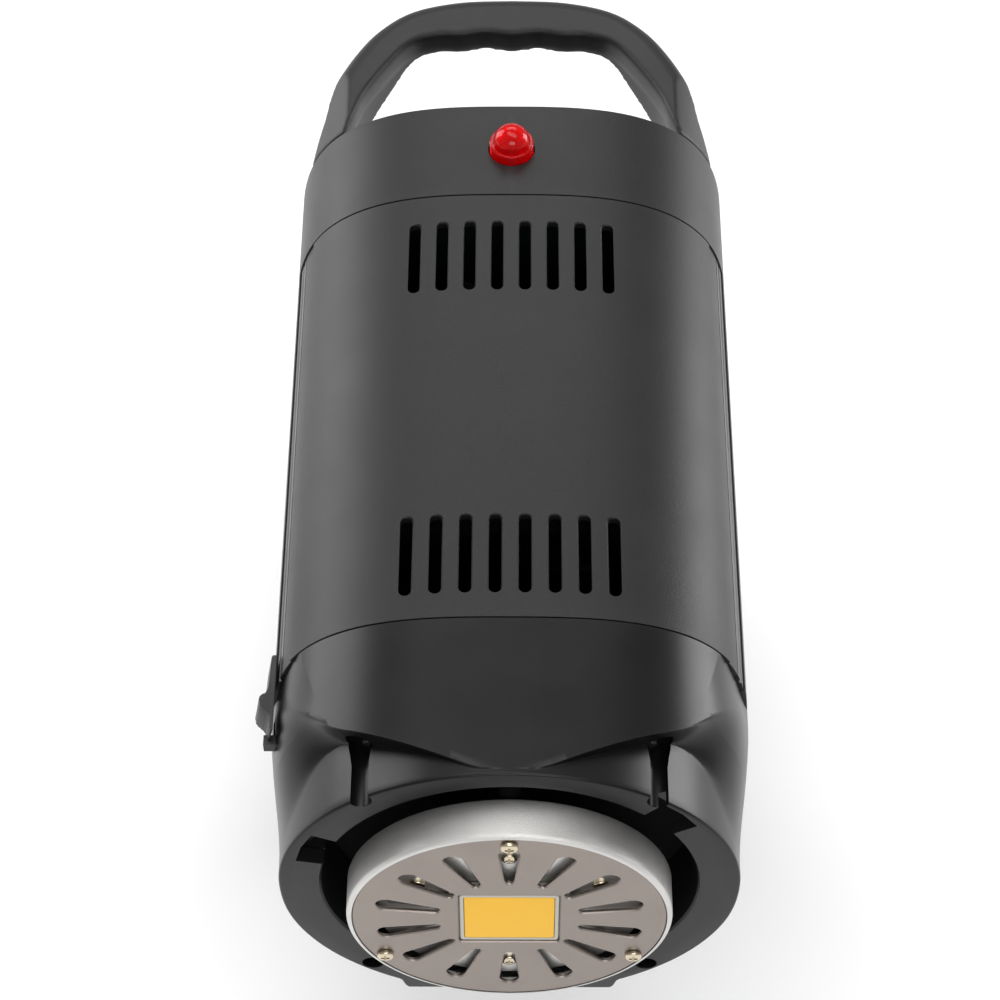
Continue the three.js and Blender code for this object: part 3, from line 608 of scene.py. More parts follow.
FACET_DEPTH = (0.2, 1.9)
FACET_START = 31.0
FACET_LIFT = 0.03
FACET_END = 10.0


def crease_at(y):
    (y0, a0), (y1, a1) = CREASE_FOOT, CREASE_SEAM
    return a0 + (a1 - a0) * (y - y0) / (y1 - y0)


def facet_radius(t, y):
    """The flatter side panel behind the brow: it breaks away at the crease and sinks towards the seam."""
    along = (y - FACET_START) / (CREASE_SEAM[0] - FACET_START)
    across = (crease_at(y) - lift_of(t)[0]) / (crease_at(y) - FACET_END)
    depth = FACET_DEPTH[0] + (FACET_DEPTH[1] - FACET_DEPTH[0]) * along
    return shell_radius(t, y) + FACET_LIFT - depth * 4 * across * (1 - across)


def facet_tool(side):
    loops = []
    for j in range(19):
        y = FACET_START + (SEAM_FRONT + 1 - FACET_START) * j / 18
        angles = [math.radians(crease_at(y) + (FACET_END - crease_at(y)) * k / 40) for k in range(41)]
        if side < 0:
            angles = [math.pi - t for t in angles]
        inner = [(facet_radius(t, y), t) for t in angles]
        outer = [(casing_radius(t) + 4, t) for t in reversed(angles)]
        loops.append([(r * math.cos(t), y, r * math.sin(t)) for r, t in inner + outer])
    return loft("facet", loops)


def housing_rows(t):
    """Depths of the surface rows at angle t, dense at the step."""
    end = SEAM_FRONT - 0.6
    middle, width = step_of(t)
    a, b = max(1.3, middle - width / 2), middle + width / 2
    rows = [0.8 + (a - 0.8) * k / 8 for k in range(9)]
    rows += [a + (b - a) * k / 10 for k in range(1, 11)]
    rows += [b + (end - b) * k / 16 for k in range(1, 17)]
    return rows


def housing_normal(point):
    t, r = math.atan2(point.z, point.x), math.hypot(point.x, point.z)
    if point.y < 1.0:
        return None
    surface_at = shell_radius
    if abs(shell_radius(t, point.y) - r) > 0.02:
        surface_at = facet_radius
    if abs(surface_at(t, point.y) - r) > 0.04:
        return None
    step = 0.002
    lean = (surface_at(t + step, point.y) - surface_at(t - step, point.y)) / (2 * step * r)
    rise = (surface_at(t, point.y + 0.1) - surface_at(t, point.y - 0.1)) / 0.2
    out, along = Vector((math.cos(t), 0, math.sin(t))), Vector((-math.sin(t), 0, math.cos(t)))
    return (out - along * lean - Vector((0, rise, 0))).normalized()


NOTCH_ANGLES, NOTCH_HALF, LUG_TURN = (40, 160, 280), 7, 20
CHANNEL_R = 65.2
PEDESTAL_X, PEDESTAL_Z = 22.6, 21.6


def lug_channel(angle):
    first, last = angle - NOTCH_HALF - LUG_TURN, angle + NOTCH_HALF - 1
    outline = [polar(CHANNEL_R, first + (last - first) * k / 20) for k in range(21)]
    outline += [polar(BORE_R - 2, last + (first - last) * k / 20) for k in range(21)]
    return prism("channel", "y", outline, LIP, CHANNEL_END)


def make_front_housing():
    count = 360
    edge = 0.8
    columns = []
    for k in range(count):
        t = 2 * math.pi * k / count
        column = []
        for j in range(4):
            a = math.radians(90 * j / 4)
            column.append((ring_radius(t) - edge * (1 - math.sin(a)), edge * (1 - math.cos(a))))
        column += [(shell_radius(t, y), y) for y in housing_rows(t)]
        last = shell_radius(t, SEAM_FRONT)
        column.append((last - 0.35, SEAM_FRONT - 0.3))
        columns.append([(r * math.cos(t), y, r * math.sin(t)) for r, y in column])
    loops = [[columns[k][j] for k in range(count)] for j in range(len(columns[0]))]
    obj = loft("front_housing_shell", loops)
    bore_outline = [(0, -2), (61.5, -2), (60.6, 0), (BORE_R, 0.7), (BORE_R, FLOOR_Y), (0, FLOOR_Y)]
    bore = turned("bore", "y", bore_outline, 144)
    door = block("door", -PEDESTAL_X, PEDESTAL_X, FLOOR_Y - 1, FLOOR_Y + FLOOR_T + 1, -PEDESTAL_Z, PEDESTAL_Z)
    hollow = loft("hollow", [casing_loop(41, -WALL - 1.5, 120), casing_loop(SEAM_FRONT + 1, -WALL - 1.5, 120)])
    funnel = turned("funnel", "y", [(0, FLOOR_Y + FLOOR_T), (63, FLOOR_Y + FLOOR_T), (63, 42), (0, 42)], 96)
    tools = [bore, door, hollow, funnel, facet_tool(1), facet_tool(-1)]
    for angle in NOTCH_ANGLES:
        low, high = angle - NOTCH_HALF, angle + NOTCH_HALF
        outline = [polar(BORE_R - 3, low), polar(LUG_R, low), polar(LUG_R + 0.4, angle),
                   polar(LUG_R, high), polar(BORE_R - 3, high)]
        tools += [prism("notch", "y", outline, -1, LIP + 1), lug_channel(angle)]
    for angle in (49, 131, 229, 311):
        tools.append(trough_tool(angle))
    tools.append(block("latch_slot", -90, -60, 37.4, 48.4, 18.9, 23.7))
    combine(obj, tools)
    for angle in (90, 210, 330):
        combine(obj, [post_tool(angle)], "UNION")
    fit(obj, "head", "casing_satin", ["front_housing"], normal_at=housing_normal)
    # painted shade inside the bore and lug channels
    paint_shade_inside(obj)


def paint_shade_inside(obj):
    """Painted shade: the faces of the bore, of the floor behind it and of the lug channels take a darker, duller
    material in place of the shade that falls in these hollows.
    """
    obj.data.materials.append(MATERIALS["dark_wire_and_painted_shade"])
    for face in obj.data.polygons:
        middle = (face.center - HEAD) / MM
        radius = math.hypot(middle.x, middle.z)
        in_channel = LIP < middle.y < CHANNEL_END and abs(radius - CHANNEL_R) < 0.1
        # painted shade on the bore wall, its floor and the lug channels
        if middle.y > 0.75 and radius < 64.9 or in_channel:
            face.material_index = 1


def trough_tool(angle):
    loops = []
    sections = ((-1, 3.9, 69.4), (0.4, 3.5, 69.2), (13, 3.5, 69.2), (17, 4.2, 69.3), (20.5, 5.0, 69.6),
                (23.3, 5.0, 69.6))
    for y, r, reach in sections:
        cx, cz = polar(reach, angle)
        loops.append([(cx + r * math.cos(a), y, cz + r * math.sin(a))
                      for a in (2 * math.pi * k / 32 for k in range(32))])
    return loft("trough", loops)


def post_tool(angle):
    centre = polar(46.1, angle)
    front, back = CUP_LOW.y + 3.1, FLOOR_Y + 1
    return turned("post", "y", [(1.7, front), (3.5, front), (3.5, back), (1.7, back)], 24, centre)


# ---- handle ----
def spline(points, u):
    """Catmull-Rom through points, u from 0 to 1."""
    span = u * (len(points) - 1)
    i = min(int(span), len(points) - 2)
    f = span - i
    p = [points[max(0, min(len(points) - 1, i + k))] for k in (-1, 0, 1, 2)]
    out = []
    for a, b, c, d in zip(*p):
        out.append(0.5 * (2 * b + (c - a) * f + (2 * a - 5 * b + 4 * c - d) * f * f
                          + (3 * b - a - 3 * c + d) * f ** 3))
    return out


# Half of the bow from the right root to the middle, seen from above: outer x, y, then inner x, y.
BOW = (
    (75.0, 277.0, 61.6, 277.0),
    (71.6, 290.0, 57.6, 287.0),
    (67.0, 303.0, 53.4, 299.5),
    (59.6, 320.0, 45.0, 314.6),
    (50.6, 334.0, 37.6, 324.6),
    (38.0, 344.6, 29.6, 328.6),
    (20.0, 349.9, 16.0, 330.0),
    (0.0, 351.0, 0.0, 330.3),
)
# Depth of the bow's underside along y, and how far each height draws in from the outer and inner walls.
BOW_SIDE = ((277, 13), (284, 19), (292, 26), (303, 33), (313, 36), (320, 38.6), (328, 43), (337, 44.6),
            (356, 44.8))
BOW_LEVELS = ((12, 0, 0), (44, 1.6, 0.6), (46.5, 0.4, 0.1), (48.5, 0, 0), (50, 0.5, 0), (51.5, 1.3, 0),
              (52.8, 2.6, 0.15), (53.8, 4.6, 0.5), (54.4, 7.0, 1.2))
GRIP_WAVE, GRIP_PITCH, GRIP_HALF = 0.65, 19.6, 24.0
BOW_STATIONS = 96


def bow_station(u):
    """Outer and inner point at u along the bow, with the finger waves on the inner wall."""
    ox, oy, ix, iy = spline(BOW, min(u, 1 - u) * 2)
    fade = 1 - smooth((abs(ix) - GRIP_HALF) / 5)
    iy -= GRIP_WAVE * fade * math.cos(2 * math.pi * ix / GRIP_PITCH)
    side = 1 if u <= 0.5 else -1
    return Vector((side * ox, oy)), Vector((side * ix, iy))


def bow_loop(z, draw_outer, draw_inner):
    outer, inner = [], []
    for k in range(BOW_STATIONS + 1):
        out, back = bow_station(k / BOW_STATIONS)
        across = (out - back).normalized()
        outer.append(out - across * draw_outer)
        inner.append(back + across * draw_inner)
    return [(p.x, p.y, z) for p in outer + inner[::-1]]


def make_handle():
    obj = loft("handle_bow", [bow_loop(*level) for level in BOW_LEVELS])
    under = [spline(BOW_SIDE, k / 40) for k in range(41)]
    side = prism("side", "x", under + [(360, 60), (270, 60)], -90, 90)
    shoulder = loft("shoulder", [casing_loop(y, -0.1, 240) for y in (HANDLE_LOW.y - 0.5, 360)])
    combine(obj, [side, shoulder], "INTERSECT")
    grid = obj.modifiers.new("grid", "REMESH")
    grid.mode, grid.voxel_size = "VOXEL", 0.8
    soften = obj.modifiers.new("soften", "SMOOTH")
    soften.factor, soften.iterations = 0.5, 7
    bpy.context.view_layer.update()
    bake(obj)
    fit(obj, "head", "casing_grain", ["handle"], angle=60)


# ---- light emitter ----
def make_cup():
    r, front, back = CUP_HIGH.x, CUP_LOW.y, CUP_HIGH.y
    profile = [(r - 1.7, front)]
    for k in range(7):
        t = math.radians(90 * k / 6)
        profile.append((r - 1.5 + 1.5 * math.sin(t), front + 1.5 - 1.5 * math.cos(t)))
    profile += [(r, back - 0.3), (r - 0.3, back), (r - 1.1, back), (r - 1.4, back - 0.3), (r - 1.4, -9.5),
                (44, -9.5), (44, -10.5), (r - 1.4, -10.5), (r - 1.4, front + 0.3)]
    obj = turned("cup_shell", "y", profile, 160)
    fit(obj, "head", "cup_silver", ["reflector_cup"])


def teardrop(inner, outer, tip, wide, grow, steps=8):
    points = []
    for k in range(steps + 1):
        t = math.radians(180 + 180 * k / steps)
        points.append(((tip + grow) * math.cos(t), inner + tip + (tip + grow) * math.sin(t)))
    for k in range(steps + 1):
        t = math.radians(180 * k / steps)
        points.append(((wide + grow) * math.cos(t), outer - wide + (wide + grow) * math.sin(t)))
    return points


def make_plate():
    front, back, r = PLATE_LOW.y, PLATE_HIGH.y, PLATE_HIGH.x
    obj = turned("emitter_disc", "y", [(0, front), (r - 0.4, front), (r, front + 0.3), (r, back), (0, back)], 160)
    tools = []
    for i in range(14):
        loops = []
        for y, grow in ((front - 1, 0.45), (front - 0.05, 0.45), (front + 0.4, 0), (back + 1, 0)):
            loops.append([(u, y, v) for u, v in teardrop(22.5, 43, 1.5, 3.15, grow)])
        tools.append(turn(loft("slot", loops), i * 360 / 14))
    window = loft("window", [[(x, y, z) for x, z in rounded(-16 - g, 16 + g, -15 - g, 15 + g, 0.8 + g)]
                             for y, g in ((front - 1, 0.4), (front, 0.4), (front + 0.4, 0), (back + 1, 0))])
    tools.append(window)
    combine(obj, tools)
    fit(obj, "head", "plate_warm", ["emitter_plate"])


def screw(name, node, body, at, facing, radius, height, shaft, length, material="steel", origin=HEAD):
    """Pan head with a cross recess, drawn along +Z and turned to face its way."""
    dome = [(0, 0), (radius, 0), (radius, height * 0.45)]
    for k in range(1, 6):
        t = math.radians(90 * k / 6)
        dome.append((radius * math.cos(t) ** 0.7, height * (0.45 + 0.55 * math.sin(t))))
    dome.append((0, height))
    obj = turned(name, "z", dome, 36)
    w, reach = radius * 0.15, radius * 0.62
    arms = []
    for angle in (0, 90):
        loops = []
        for z, grow in ((height * 0.25, 0.45), (height + 0.5, 1.0)):
            far = reach * grow
            loops.append([(-far, -w, z), (far, -w, z), (far, w, z), (-far, w, z)])
        arms.append(turn(loft("arm", loops), angle, "Z"))
    combine(obj, arms)
    combine(obj, [rod("shaft", "z", shaft, -length, 0.1, (0, 0), 20)], "UNION")
    turns = {"-y": (90, "X"), "+y": (-90, "X"), "-z": (180, "X")}
    turn(obj, *turns[facing])
    move(obj, *at)
    fit(obj, body, material, [node] if node else (), origin=origin)


def make_screws():
    for i, angle in enumerate((90, 210, 330)):
        x, z = polar(46.1, angle)
        screw(f"plate_screw_head_{i + 1}", f"plate_screw_{i + 1}", "head", (x, PLATE_LOW.y - 0.25, z), "-y",
              2.7, 1.6, 1.3, 10, "nickel_warm")
    for i, angle in enumerate((49, 131, 229, 311)):
        low, high = head_box(f"front_screw_{i + 1}")
        at = ((low.x + high.x) / 2, low.y + 2, (low.z + high.z) / 2)
        screw(f"front_screw_head_{i + 1}", f"front_screw_{i + 1}", "head", at, "-y", 1.8, 2, 1.4, 43,
              "black_plastic")
    for i in range(4):
        low, high = head_box(f"panel_screw_{i + 1}")
        at = ((low.x + high.x) / 2, high.y - 1.5, (low.z + high.z) / 2)
        screw(f"panel_screw_head_{i + 1}", f"panel_screw_{i + 1}", "head", at, "+y", 2.4, 1.5, 1.2, 8,
              "black_plastic")
        low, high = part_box(f"bracket_screw_{i + 1}")
        middle = (low + high) / 2 / MM
        at = (middle.x, middle.y, low.z / MM + 2.6)
        screw(f"bracket_screw_head_{i + 1}", f"bracket_screw_{i + 1}", "head", at, "-z", 3.6, 2.6, 2, 11,
              origin=ORIGIN)


def make_emitter():
    board_low, board_high = head_box("cob_board")
    board = prism("emitter_board", "y", rounded(board_low.x, board_high.x, board_low.z, board_high.z, 1.5),
                  board_low.y, board_high.y)
    rim = prism("rim", "y", rounded(-15.6, 15.6, -14.4, 14.4, 1.2), board_low.y - 1.7, board_low.y + 0.2)
    combine(board, [rim], "UNION")
    well = prism("well", "y", rounded(-14.4, 14.4, -13.15, 13.15, 0.8), board_low.y - 3, board_low.y - 0.25)
    combine(board, [well])
    round_edges(board, 0.2)
    fit(board, "head", "board_white", ["cob_board"])
    low, high = head_box("cob_phosphor")
    gel = prism("phosphor_gel", "y", rounded(low.x, high.x, low.z, high.z, 0.9), low.y, high.y)
    round_edges(gel, 0.35, 3)
    fit(gel, "head", "phosphor", ["cob_phosphor"])


def make_spreader():
    """The aluminium plate that carries the emitter, seen through the slots."""
    low, high = head_box("heat_spreader")
    r = high.x
    outline = [(0, low.y), (r - 0.3, low.y), (r, low.y + 0.3), (r, high.y), (0, high.y)]
    disc = turned("spreader_disc", "y", outline, 96)
    tools = []
    for angle in (172, 345):
        cut = prism("cut", "y", rounded(27, 39, -1.6, 1.6, 1.5), low.y - 1, high.y + 1)
        tools.append(turn(cut, -angle))
    combine(disc, tools)
    fit(disc, "head", "alloy", ["heat_spreader"])
    for i, angle in enumerate((30, 90, 150, 210, 270, 330)):
        x, z = polar(33, angle)
        screw(f"spreader_screw_{i + 1}", None, "head", (x, low.y, z), "-y", 2.5, 1.5, 1.2, 1, "nickel_warm")


def make_dome():
    middle = (0, (DOME_LOW.y + DOME_HIGH.y) / 2)
    top = DOME_HIGH.z
    clear = 6.6
    rim_top = top - clear
    profile = [(4.2, DOME_LOW.z), (7.8, DOME_LOW.z), (7.8, rim_top - 0.5), (7.65, rim_top - 0.15), (7.3, rim_top),
               (clear + 0.1, rim_top)]
    for k in range(1, 16):
        t = math.radians(90 * k / 16)
        profile.append((clear * math.cos(t), rim_top + clear * math.sin(t)))
    inner = 4.6
    profile += [(0.0001, top), (0.0001, rim_top + inner)]
    for k in range(1, 10):
        t = math.radians(90 - 90 * k / 10)
        profile.append((inner * math.cos(t), rim_top + inner * math.sin(t)))
    obj = turned("dome_lens", "z", profile, 72, middle)
    fit(obj, "head", "red_lens", ["slave_dome"], angle=50)


# ---- latch ----
THUMB_Z0, THUMB_Z1, THUMB_LEAN = 18.0, 30.0, 0.17


def thumb_outline():
    """Seen from above: a thin tail, a hump, and a hollow ridged front for the thumb."""
    front = [(-70, 39.4), (-78.4, 39.4), (-78.6, 39.7)]
    ridges = 9
    for k in range(ridges * 2 + 1):
        f = k / (ridges * 2)
        out = 0.2 if k % 2 else -0.12
        x = -78.6 - 0.5 * f - 3.2 * smooth((f - 0.5) / 0.5)
        front.append((x - out * (1 - 0.4 * f), 40.2 + 9.4 * f))
    hump = []
    for k in range(9):
        t = math.radians(190 - 125 * k / 8)
        hump.append((-80.5 + 2.1 * math.cos(t), 51.2 + 2.2 * math.sin(t)))
    tail = [(-79.95, 55.2), (-79.75, 57.0), (-79.6, 60), (-79.3, 67.4), (-78.9, 68), (-70, 68)]
    return front + hump[:7] + tail


def make_latch():
    outline = [(max(LATCH_LOW.x, x), y) for x, y in thumb_outline()]
    obj = loft("latch_thumb", [[(x + THUMB_LEAN * (z - THUMB_Z0), y, z) for x, y in outline]
                               for z in (THUMB_Z0, THUMB_Z1)])
    seat = loft("seat", [casing_loop(20, 0.4, 240), casing_loop(80, 0.4, 240)])
    combine(obj, [seat])
    round_edges(obj, 0.22, 2, 40)
    combine(obj, [block("web", -79, -63.8, 38, 41.6, 19.3, 23.3)], "UNION")
    combine(obj, [block("bar", -66.5, -61.1, 17, 41.6, 18.6, 23.8)], "UNION")
    combine(obj, [rod("pin", "y", 2, LATCH_LOW.y, 18, (-63.2, 21.2), 24)], "UNION")
    fit(obj, "latch", "black_plastic", ["latch_slider"])


# ---- rear panel ----
DIAL_AT, SWITCH_AT, INLET_AT, FUSE_AT = (-32, -29), (-4, -30), (29, -31), (36, -4)
FACE = PANEL_HIGH.y + 0.3


def make_rear_panel():
    y0, y1 = PANEL_LOW.y, PANEL_HIGH.y
    obj = prism("rear_plate", "y", rounded(-57, 57, -57, 37, 14), y0, y1)
    tools = [rod("cut", "y", 3.4, 260, 290, DIAL_AT),
             block("cut", SWITCH_AT[0] - 6.5, SWITCH_AT[0] + 6.5, 260, 290, SWITCH_AT[1] - 11, SWITCH_AT[1] + 11),
             block("cut", INLET_AT[0] - 13.8, INLET_AT[0] + 13.8, 260, 290,
                   INLET_AT[1] - 10.1, INLET_AT[1] + 10.1),
             rod("cut", "y", 6.3, 260, 290, FUSE_AT),
             prism("cut", "y", rounded(-24, 24, 8, 28, 0.6), 260, 290)]
    for x in (-36, -18, 0):
        outline = [(0, 260), (4.8, 260), (4.8, y1 - 0.3), (5.2, y1 + 0.1), (5.2, 290), (0, 290)]
        tools.append(turned("button_hole", "y", outline, 40, (x, -4)))
    for i in range(4):
        low, high = head_box(f"panel_screw_{i + 1}")
        tools.append(rod("cut", "y", 1.6, 260, 290, ((low.x + high.x) / 2, (low.z + high.z) / 2), 16))
    combine(obj, tools)
    fit(obj, "head", "black_plastic", ["rear_panel"])
    make_panel_print()


def make_panel_print():
    """Plain white tick marks round the dial."""
    bars = []
    for k in range(11):
        angle = 90 + 135 - 27 * k
        long = 2.4 if k % 5 == 0 else 1.4
        tick = block("tick", -0.25, 0.25, FACE - 0.28, FACE - 0.2, 15.2, 15.2 + long)
        turn(tick, -(90 - angle) * -1)
        bars.append(move(tick, DIAL_AT[0], 0, DIAL_AT[1]))
    join(bars, "dial_marks")
    fit(bars[0], "head", "print_white")


def join(objs, name):
    """Joins separate pieces into the first one's mesh."""
    bm = bmesh.new()
    for obj in objs:
        bm.from_mesh(obj.data)
    mesh = bpy.data.meshes.new(name)
    bm.to_mesh(mesh)
    bm.free()
    for obj in objs[1:]:
        bpy.data.objects.remove(obj)
    objs[0].data = mesh
    objs[0].name = name
    return objs[0]


def make_dial():
    low, high = head_box("power_dial")
    r, top = 12.0, high.y
    profile = [(0, FACE + 0.2), (r + 1, FACE + 0.2), (r + 1, FACE + 1.3), (r + 0.7, FACE + 1.7), (r, FACE + 2.3),
               (r - 0.6, top - 1.6), (r - 1.0, top - 0.6), (r - 2.0, top), (r - 4, top), (r - 4.3, top - 0.3),
               (0, top - 0.3)]
    obj = turned("dial_knob", "y", profile, 96, DIAL_AT)
    tools = []
    for i in range(24):
        x, z = polar(r + 0.55, i * 15)
        tools.append(rod("grip", "y", 0.9, FACE + 2.6, FACE + 15, (DIAL_AT[0] + x, DIAL_AT[1] + z), 12))
    combine(obj, tools)
    combine(obj, [rod("spindle", "y", 3, low.y, FACE + 1, DIAL_AT, 24)], "UNION")
    fit(obj, "dial", "black_plastic", ["power_dial"])
    mark = block("dial_pointer", DIAL_AT[0] - 0.5, DIAL_AT[0] + 0.5, top - 0.5, top + 0.0,
                 DIAL_AT[1] + 3, DIAL_AT[1] + 11)
    round_edges(mark, 0.15)
    fit(mark, "dial", "print_white")


def make_buttons():
    for i, x in enumerate((-36, -18, 0)):
        low, high = head_box(f"button_{i + 1}")
        profile = [(0, low.y), (5.7, low.y), (5.7, 272.8), (4.4, 272.8), (4.4, high.y - 0.9)]
        for k in range(1, 6):
            t = math.radians(90 * k / 5)
            profile.append((4.4 - 0.9 * (1 - math.cos(t)), high.y - 0.9 + 0.9 * math.sin(t)))
        profile += [(2.4, high.y - 0.1), (0, high.y - 0.25)]
        obj = turned(f"button_cap_{i + 1}", "y", profile, 48, (x, -4))
        fit(obj, f"button_{i + 1}", "casing_satin", [f"button_{i + 1}"])


def make_rear_controls():
    x, z = SWITCH_AT
    bezel = block("switch_frame", x - 6.2, x + 6.2, 260, FACE + 0.5, z - 10.7, z + 10.7)
    lip = prism("lip", "y", rounded(x - 7.8, x + 7.8, z - 12.6, z + 12.6, 1.5), FACE, FACE + 1.6)
    combine(bezel, [lip], "UNION")
    combine(bezel, [block("well", x - 5, x + 5, 262, 290, z - 9.9, z + 9.9)])
    round_edges(bezel, 0.3)
    fit(bezel, "head", "black_plastic", ["rocker_bezel"])
    profile = [(-6, -2), (-2.5, -7.2), (3.6, -8.9), (5, -8.8)]
    for k in range(9):
        f = k / 8
        profile.append((4.9 + 3.1 * f ** 1.6, -7.6 + 15.0 * f))
    profile += [(7, 8.6), (-1.5, 8.4), (-5, 5.5)]
    rocker = prism("rocker_key", "x", [(273.6 + u, z + v) for u, v in profile], x - 4.6, x + 4.6)
    round_edges(rocker, 0.3, 2, 40)
    fit(rocker, "rocker", "black_plastic", ["rocker_switch"])
    x, z = INLET_AT
    inlet = block("inlet_body", x - 13.5, x + 13.5, 256, FACE + 0.5, z - 9.8, z + 9.8)
    lip = prism("lip", "y", rounded(x - 16.5, x + 16.5, z - 12.5, z + 12.5, 3), FACE, FACE + 2)
    combine(inlet, [lip], "UNION")
    hollow = [(x - 11.8, z - 8), (x + 11.8, z - 8), (x + 11.8, z + 4), (x + 7.8, z + 8), (x - 7.8, z + 8),
              (x - 11.8, z + 4)]
    combine(inlet, [prism("well", "y", hollow, 259, 290)])
    round_edges(inlet, 0.4)
    fit(inlet, "head", "black_plastic", ["inlet_socket"])
    blades = []
    for bx, bz in ((-7, -2.5), (7, -2.5), (0, 2.5)):
        blades.append(block("blade", x + bx - 1, x + bx + 1, 258, 273, z + bz - 2.5, z + bz + 2.5))
    pins = round_edges(join(blades, "inlet_pins"), 0.3)
    fit(pins, "head", "steel")
    holder = turned("fuse_body", "y", [(4.4, 258), (6, 258), (6, FACE), (7.8, FACE), (7.8, FACE + 1.2),
                                       (7.0, FACE + 2), (4.8, FACE + 2), (4.4, FACE + 1.6)], 48, FUSE_AT)
    fit(holder, "head", "black_plastic", ["fuse_holder"])
    cap = turned("fuse_knob", "y", [(0, 262), (4, 262), (4, FACE + 2.3), (5.8, FACE + 2.3), (6, FACE + 2.6),
                                    (6, FACE + 5.2), (5.2, FACE + 6), (0, FACE + 6)], 48, FUSE_AT)
    combine(cap, [block("slot", FUSE_AT[0] - 3.8, FUSE_AT[0] + 3.8, FACE + 4.8, FACE + 8,
                        FUSE_AT[1] - 0.7, FUSE_AT[1] + 0.7)])
    fit(cap, "fuse_cap", "black_plastic", ["fuse_cap"])
    low, high = head_box("display_window")
    lens = prism("display_lens", "y", rounded(low.x, high.x, low.z, high.z, 0.5), low.y, high.y)
    round_edges(lens, 0.25, 3)
    fit(lens, "head", "display_glass", ["display_window"])


# ---- stand bracket ----
PIVOT = 48.0
TONGUE_R = 15.0


def make_tilt_block():
    obj = prism("socket_block", "z", rounded(-15, 15, -15, 15, 5, 10), 0, 29)
    round_edges(obj, 1.0, 3, 60)
    tongue = rod("tongue", "x", TONGUE_R, -8.6, 8.6, (0, PIVOT), 72)
    stem = block("stem", -8.6, 8.6, -13, 13, 24, PIVOT)
    combine(obj, [stem, tongue], "UNION")
    combine(obj, [rod("cut", "x", 4.4, -20, 20, (0, PIVOT), 40),
                  turned("cut", "z", [(0, -1), (9.3, -1), (8.2, 0.9), (8.2, 24), (0, 24)], 64),
                  rod("cut", "x", 3.4, 0, 30, (0, 13), 32)])
    fit(obj, "stand_block", "bracket_black", ["tilt_block"], origin=ORIGIN)


def make_clevis():
    low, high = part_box("bracket_clevis")
    top = high.z / MM
    obj = block("clevis_yoke", -18.2, 18.2, -20, 20, 65, top)
    parts = [prism("plate", "z", rounded(-18.4, 18.4, -34, 34, 5), 76.2, top)]
    for side in (1, -1):
        x0, x1 = sorted((side * 10.7, side * 18.2))
        parts.append(rod("ear", "x", TONGUE_R, x0, x1, (0, PIVOT), 72))
        parts.append(block("cheek", x0, x1, -TONGUE_R, TONGUE_R, PIVOT, 68))
    combine(obj, parts, "UNION")
    combine(obj, [rod("cut", "x", 4.4, -30, 30, (0, PIVOT), 40), rod("cut", "y", 4.8, -30, 30, (0, 71), 48),
                  rod("cut", "x", 2.9, -30, 0, (0, 71), 32)])
    round_edges(obj, 0.5, 2, 50)
    fit(obj, "head", "bracket_black", ["bracket_clevis"], origin=ORIGIN)


def hand_knob(name, radius, start, end, hollows, z):
    edge = radius * 0.12
    profile = [(0, start), (radius * 0.62, start), (radius * 0.62, start + 2.6), (radius * 0.98, start + 3.2)]
    profile += [(radius, start + 3.7), (radius, end - edge)]
    for k in range(1, 6):
        t = math.radians(90 * k / 5)
        profile.append((radius - edge * (1 - math.cos(t)), end - edge + edge * math.sin(t)))
    profile += [(radius * 0.5, end), (radius * 0.45, end - 0.5), (0, end - 0.5)]
    obj = turned(name, "x", profile, 96, (0, z))
    tools = []
    for i in range(hollows):
        y, up = polar(radius * 1.16, i * 360 / hollows)
        tools.append(rod("hollow", "x", radius * 0.3, start + 3, end + 1, (y, z + up), 32))
    combine(obj, tools)
    return round_edges(obj, 0.45, 3, 40)


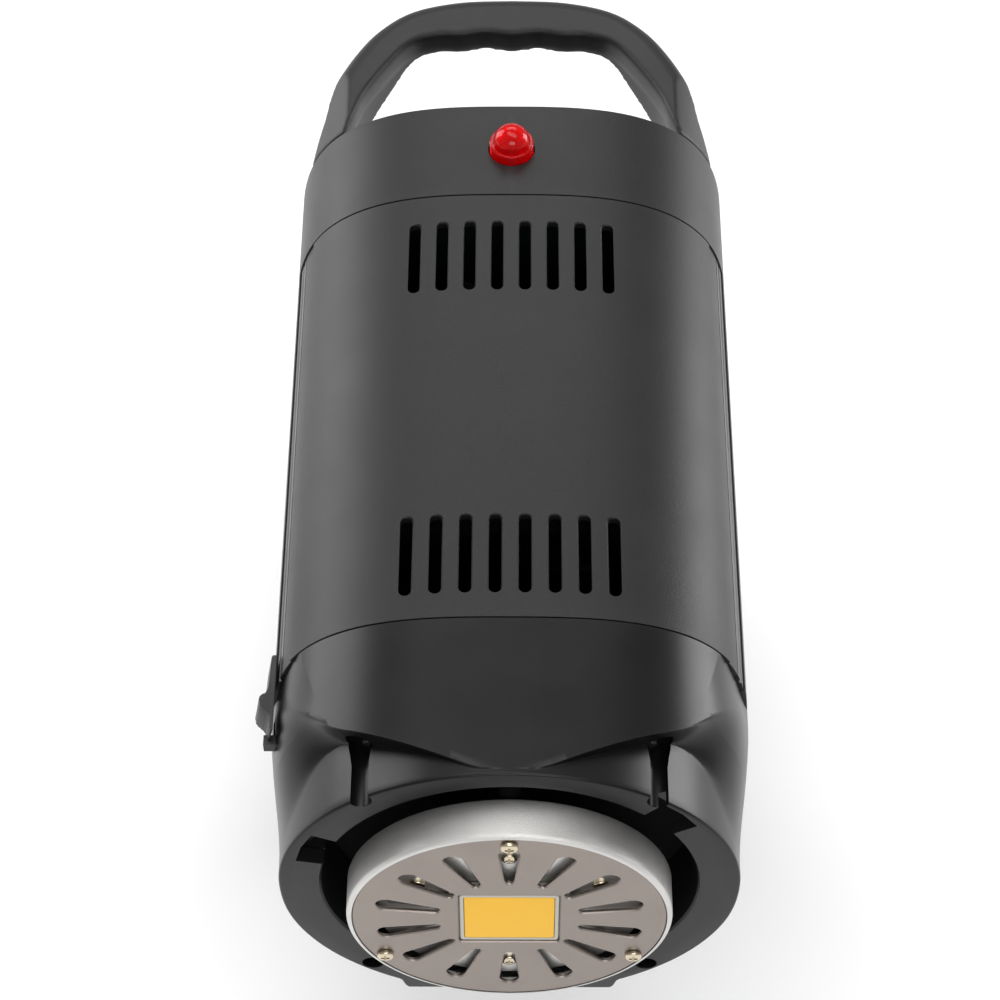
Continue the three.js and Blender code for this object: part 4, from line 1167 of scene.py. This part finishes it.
def make_knobs():
    low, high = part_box("tilt_knob")
    tilt = hand_knob("tilt_hand_knob", 16, low.x / MM, high.x / MM, 6, PIVOT)
    combine(tilt, [rod("cut", "x", 4.3, 10, 32, (0, PIVOT), 32)])
    fit(tilt, "tilt_knob", "black_plastic", ["tilt_knob"], origin=ORIGIN)
    low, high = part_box("spigot_knob")
    spigot = hand_knob("stand_thumbscrew", 11, 15.6, high.x / MM, 5, 13)
    combine(spigot, [rod("s", "x", 3, low.x / MM, 17, (0, 13), 32)], "UNION")
    fit(spigot, "spigot_knob", "black_plastic", ["spigot_knob"], origin=ORIGIN)
    low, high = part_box("umbrella_knob")
    umbrella = hand_knob("umbrella_thumbscrew", 8.6, 18.9, -low.x / MM, 5, 71)
    combine(umbrella, [rod("s", "x", 2.5, 5.2, 20, (0, 71), 32)], "UNION")
    fit(flip_x(umbrella), "umbrella_knob", "black_plastic", ["umbrella_knob"], origin=ORIGIN)
    bolt = rod("tilt_bolt", "x", 4, -19, 30, (0, PIVOT), 40)
    head_hex = turned("hex", "x", [(0, -24), (6.6, -24), (6.6, -18.5), (0, -18.5)], 6, (0, PIVOT))
    head_hex = round_edges(head_hex, 0.6)
    combine(bolt, [head_hex], "UNION")
    fit(bolt, "head", "steel", ["pivot_bolt"], origin=ORIGIN)
    for name, x0, x1 in (("left", -10.4, -8.9), ("right", 8.9, 10.4)):
        ring = turned(f"friction_disc_{name}", "x", [(4.4, x0), (12, x0), (12, x1), (4.4, x1)], 64, (0, PIVOT))
        fit(ring, "head", "friction", [f"friction_washer_{name}"], origin=ORIGIN)


# ---- pieces inside, kept from the frame with their own finish ----
INSIDE = {
    "heat_sink": "anodised", "fan_frame": "black_plastic", "fan_rotor": "black_plastic",
    "power_board": "board_green", "control_board": "board_green", "transformer": "winding",
    "capacitor_1": "capacitor_sleeve", "capacitor_2": "capacitor_sleeve", "wire_harness": "dark_wire_and_painted_shade",
    "slave_sensor": "black_plastic", "latch_spring": "steel",
}


def finish_inside():
    for node, material in INSIDE.items():
        obj = frame["nodes"][node]
        obj.data.materials.clear()
        obj.data.materials.append(MATERIALS[material])
        step = obj.modifiers.new("round", "BEVEL")
        step.width, step.segments, step.limit_method = 0.3 * MM, 2, "ANGLE"


make_top_cover()
make_bottom_cover()
make_rail("rail_trim_left", -1, "side_rail_left")
make_rail("rail_trim_right", 1, "side_rail_right")
make_rear_cap()
make_front_housing()
make_handle()
make_cup()
make_plate()
make_emitter()
make_spreader()
make_screws()
make_dome()
make_latch()
make_rear_panel()
make_dial()
make_buttons()
make_rear_controls()
make_tilt_block()
make_clevis()
make_knobs()
finish_inside()
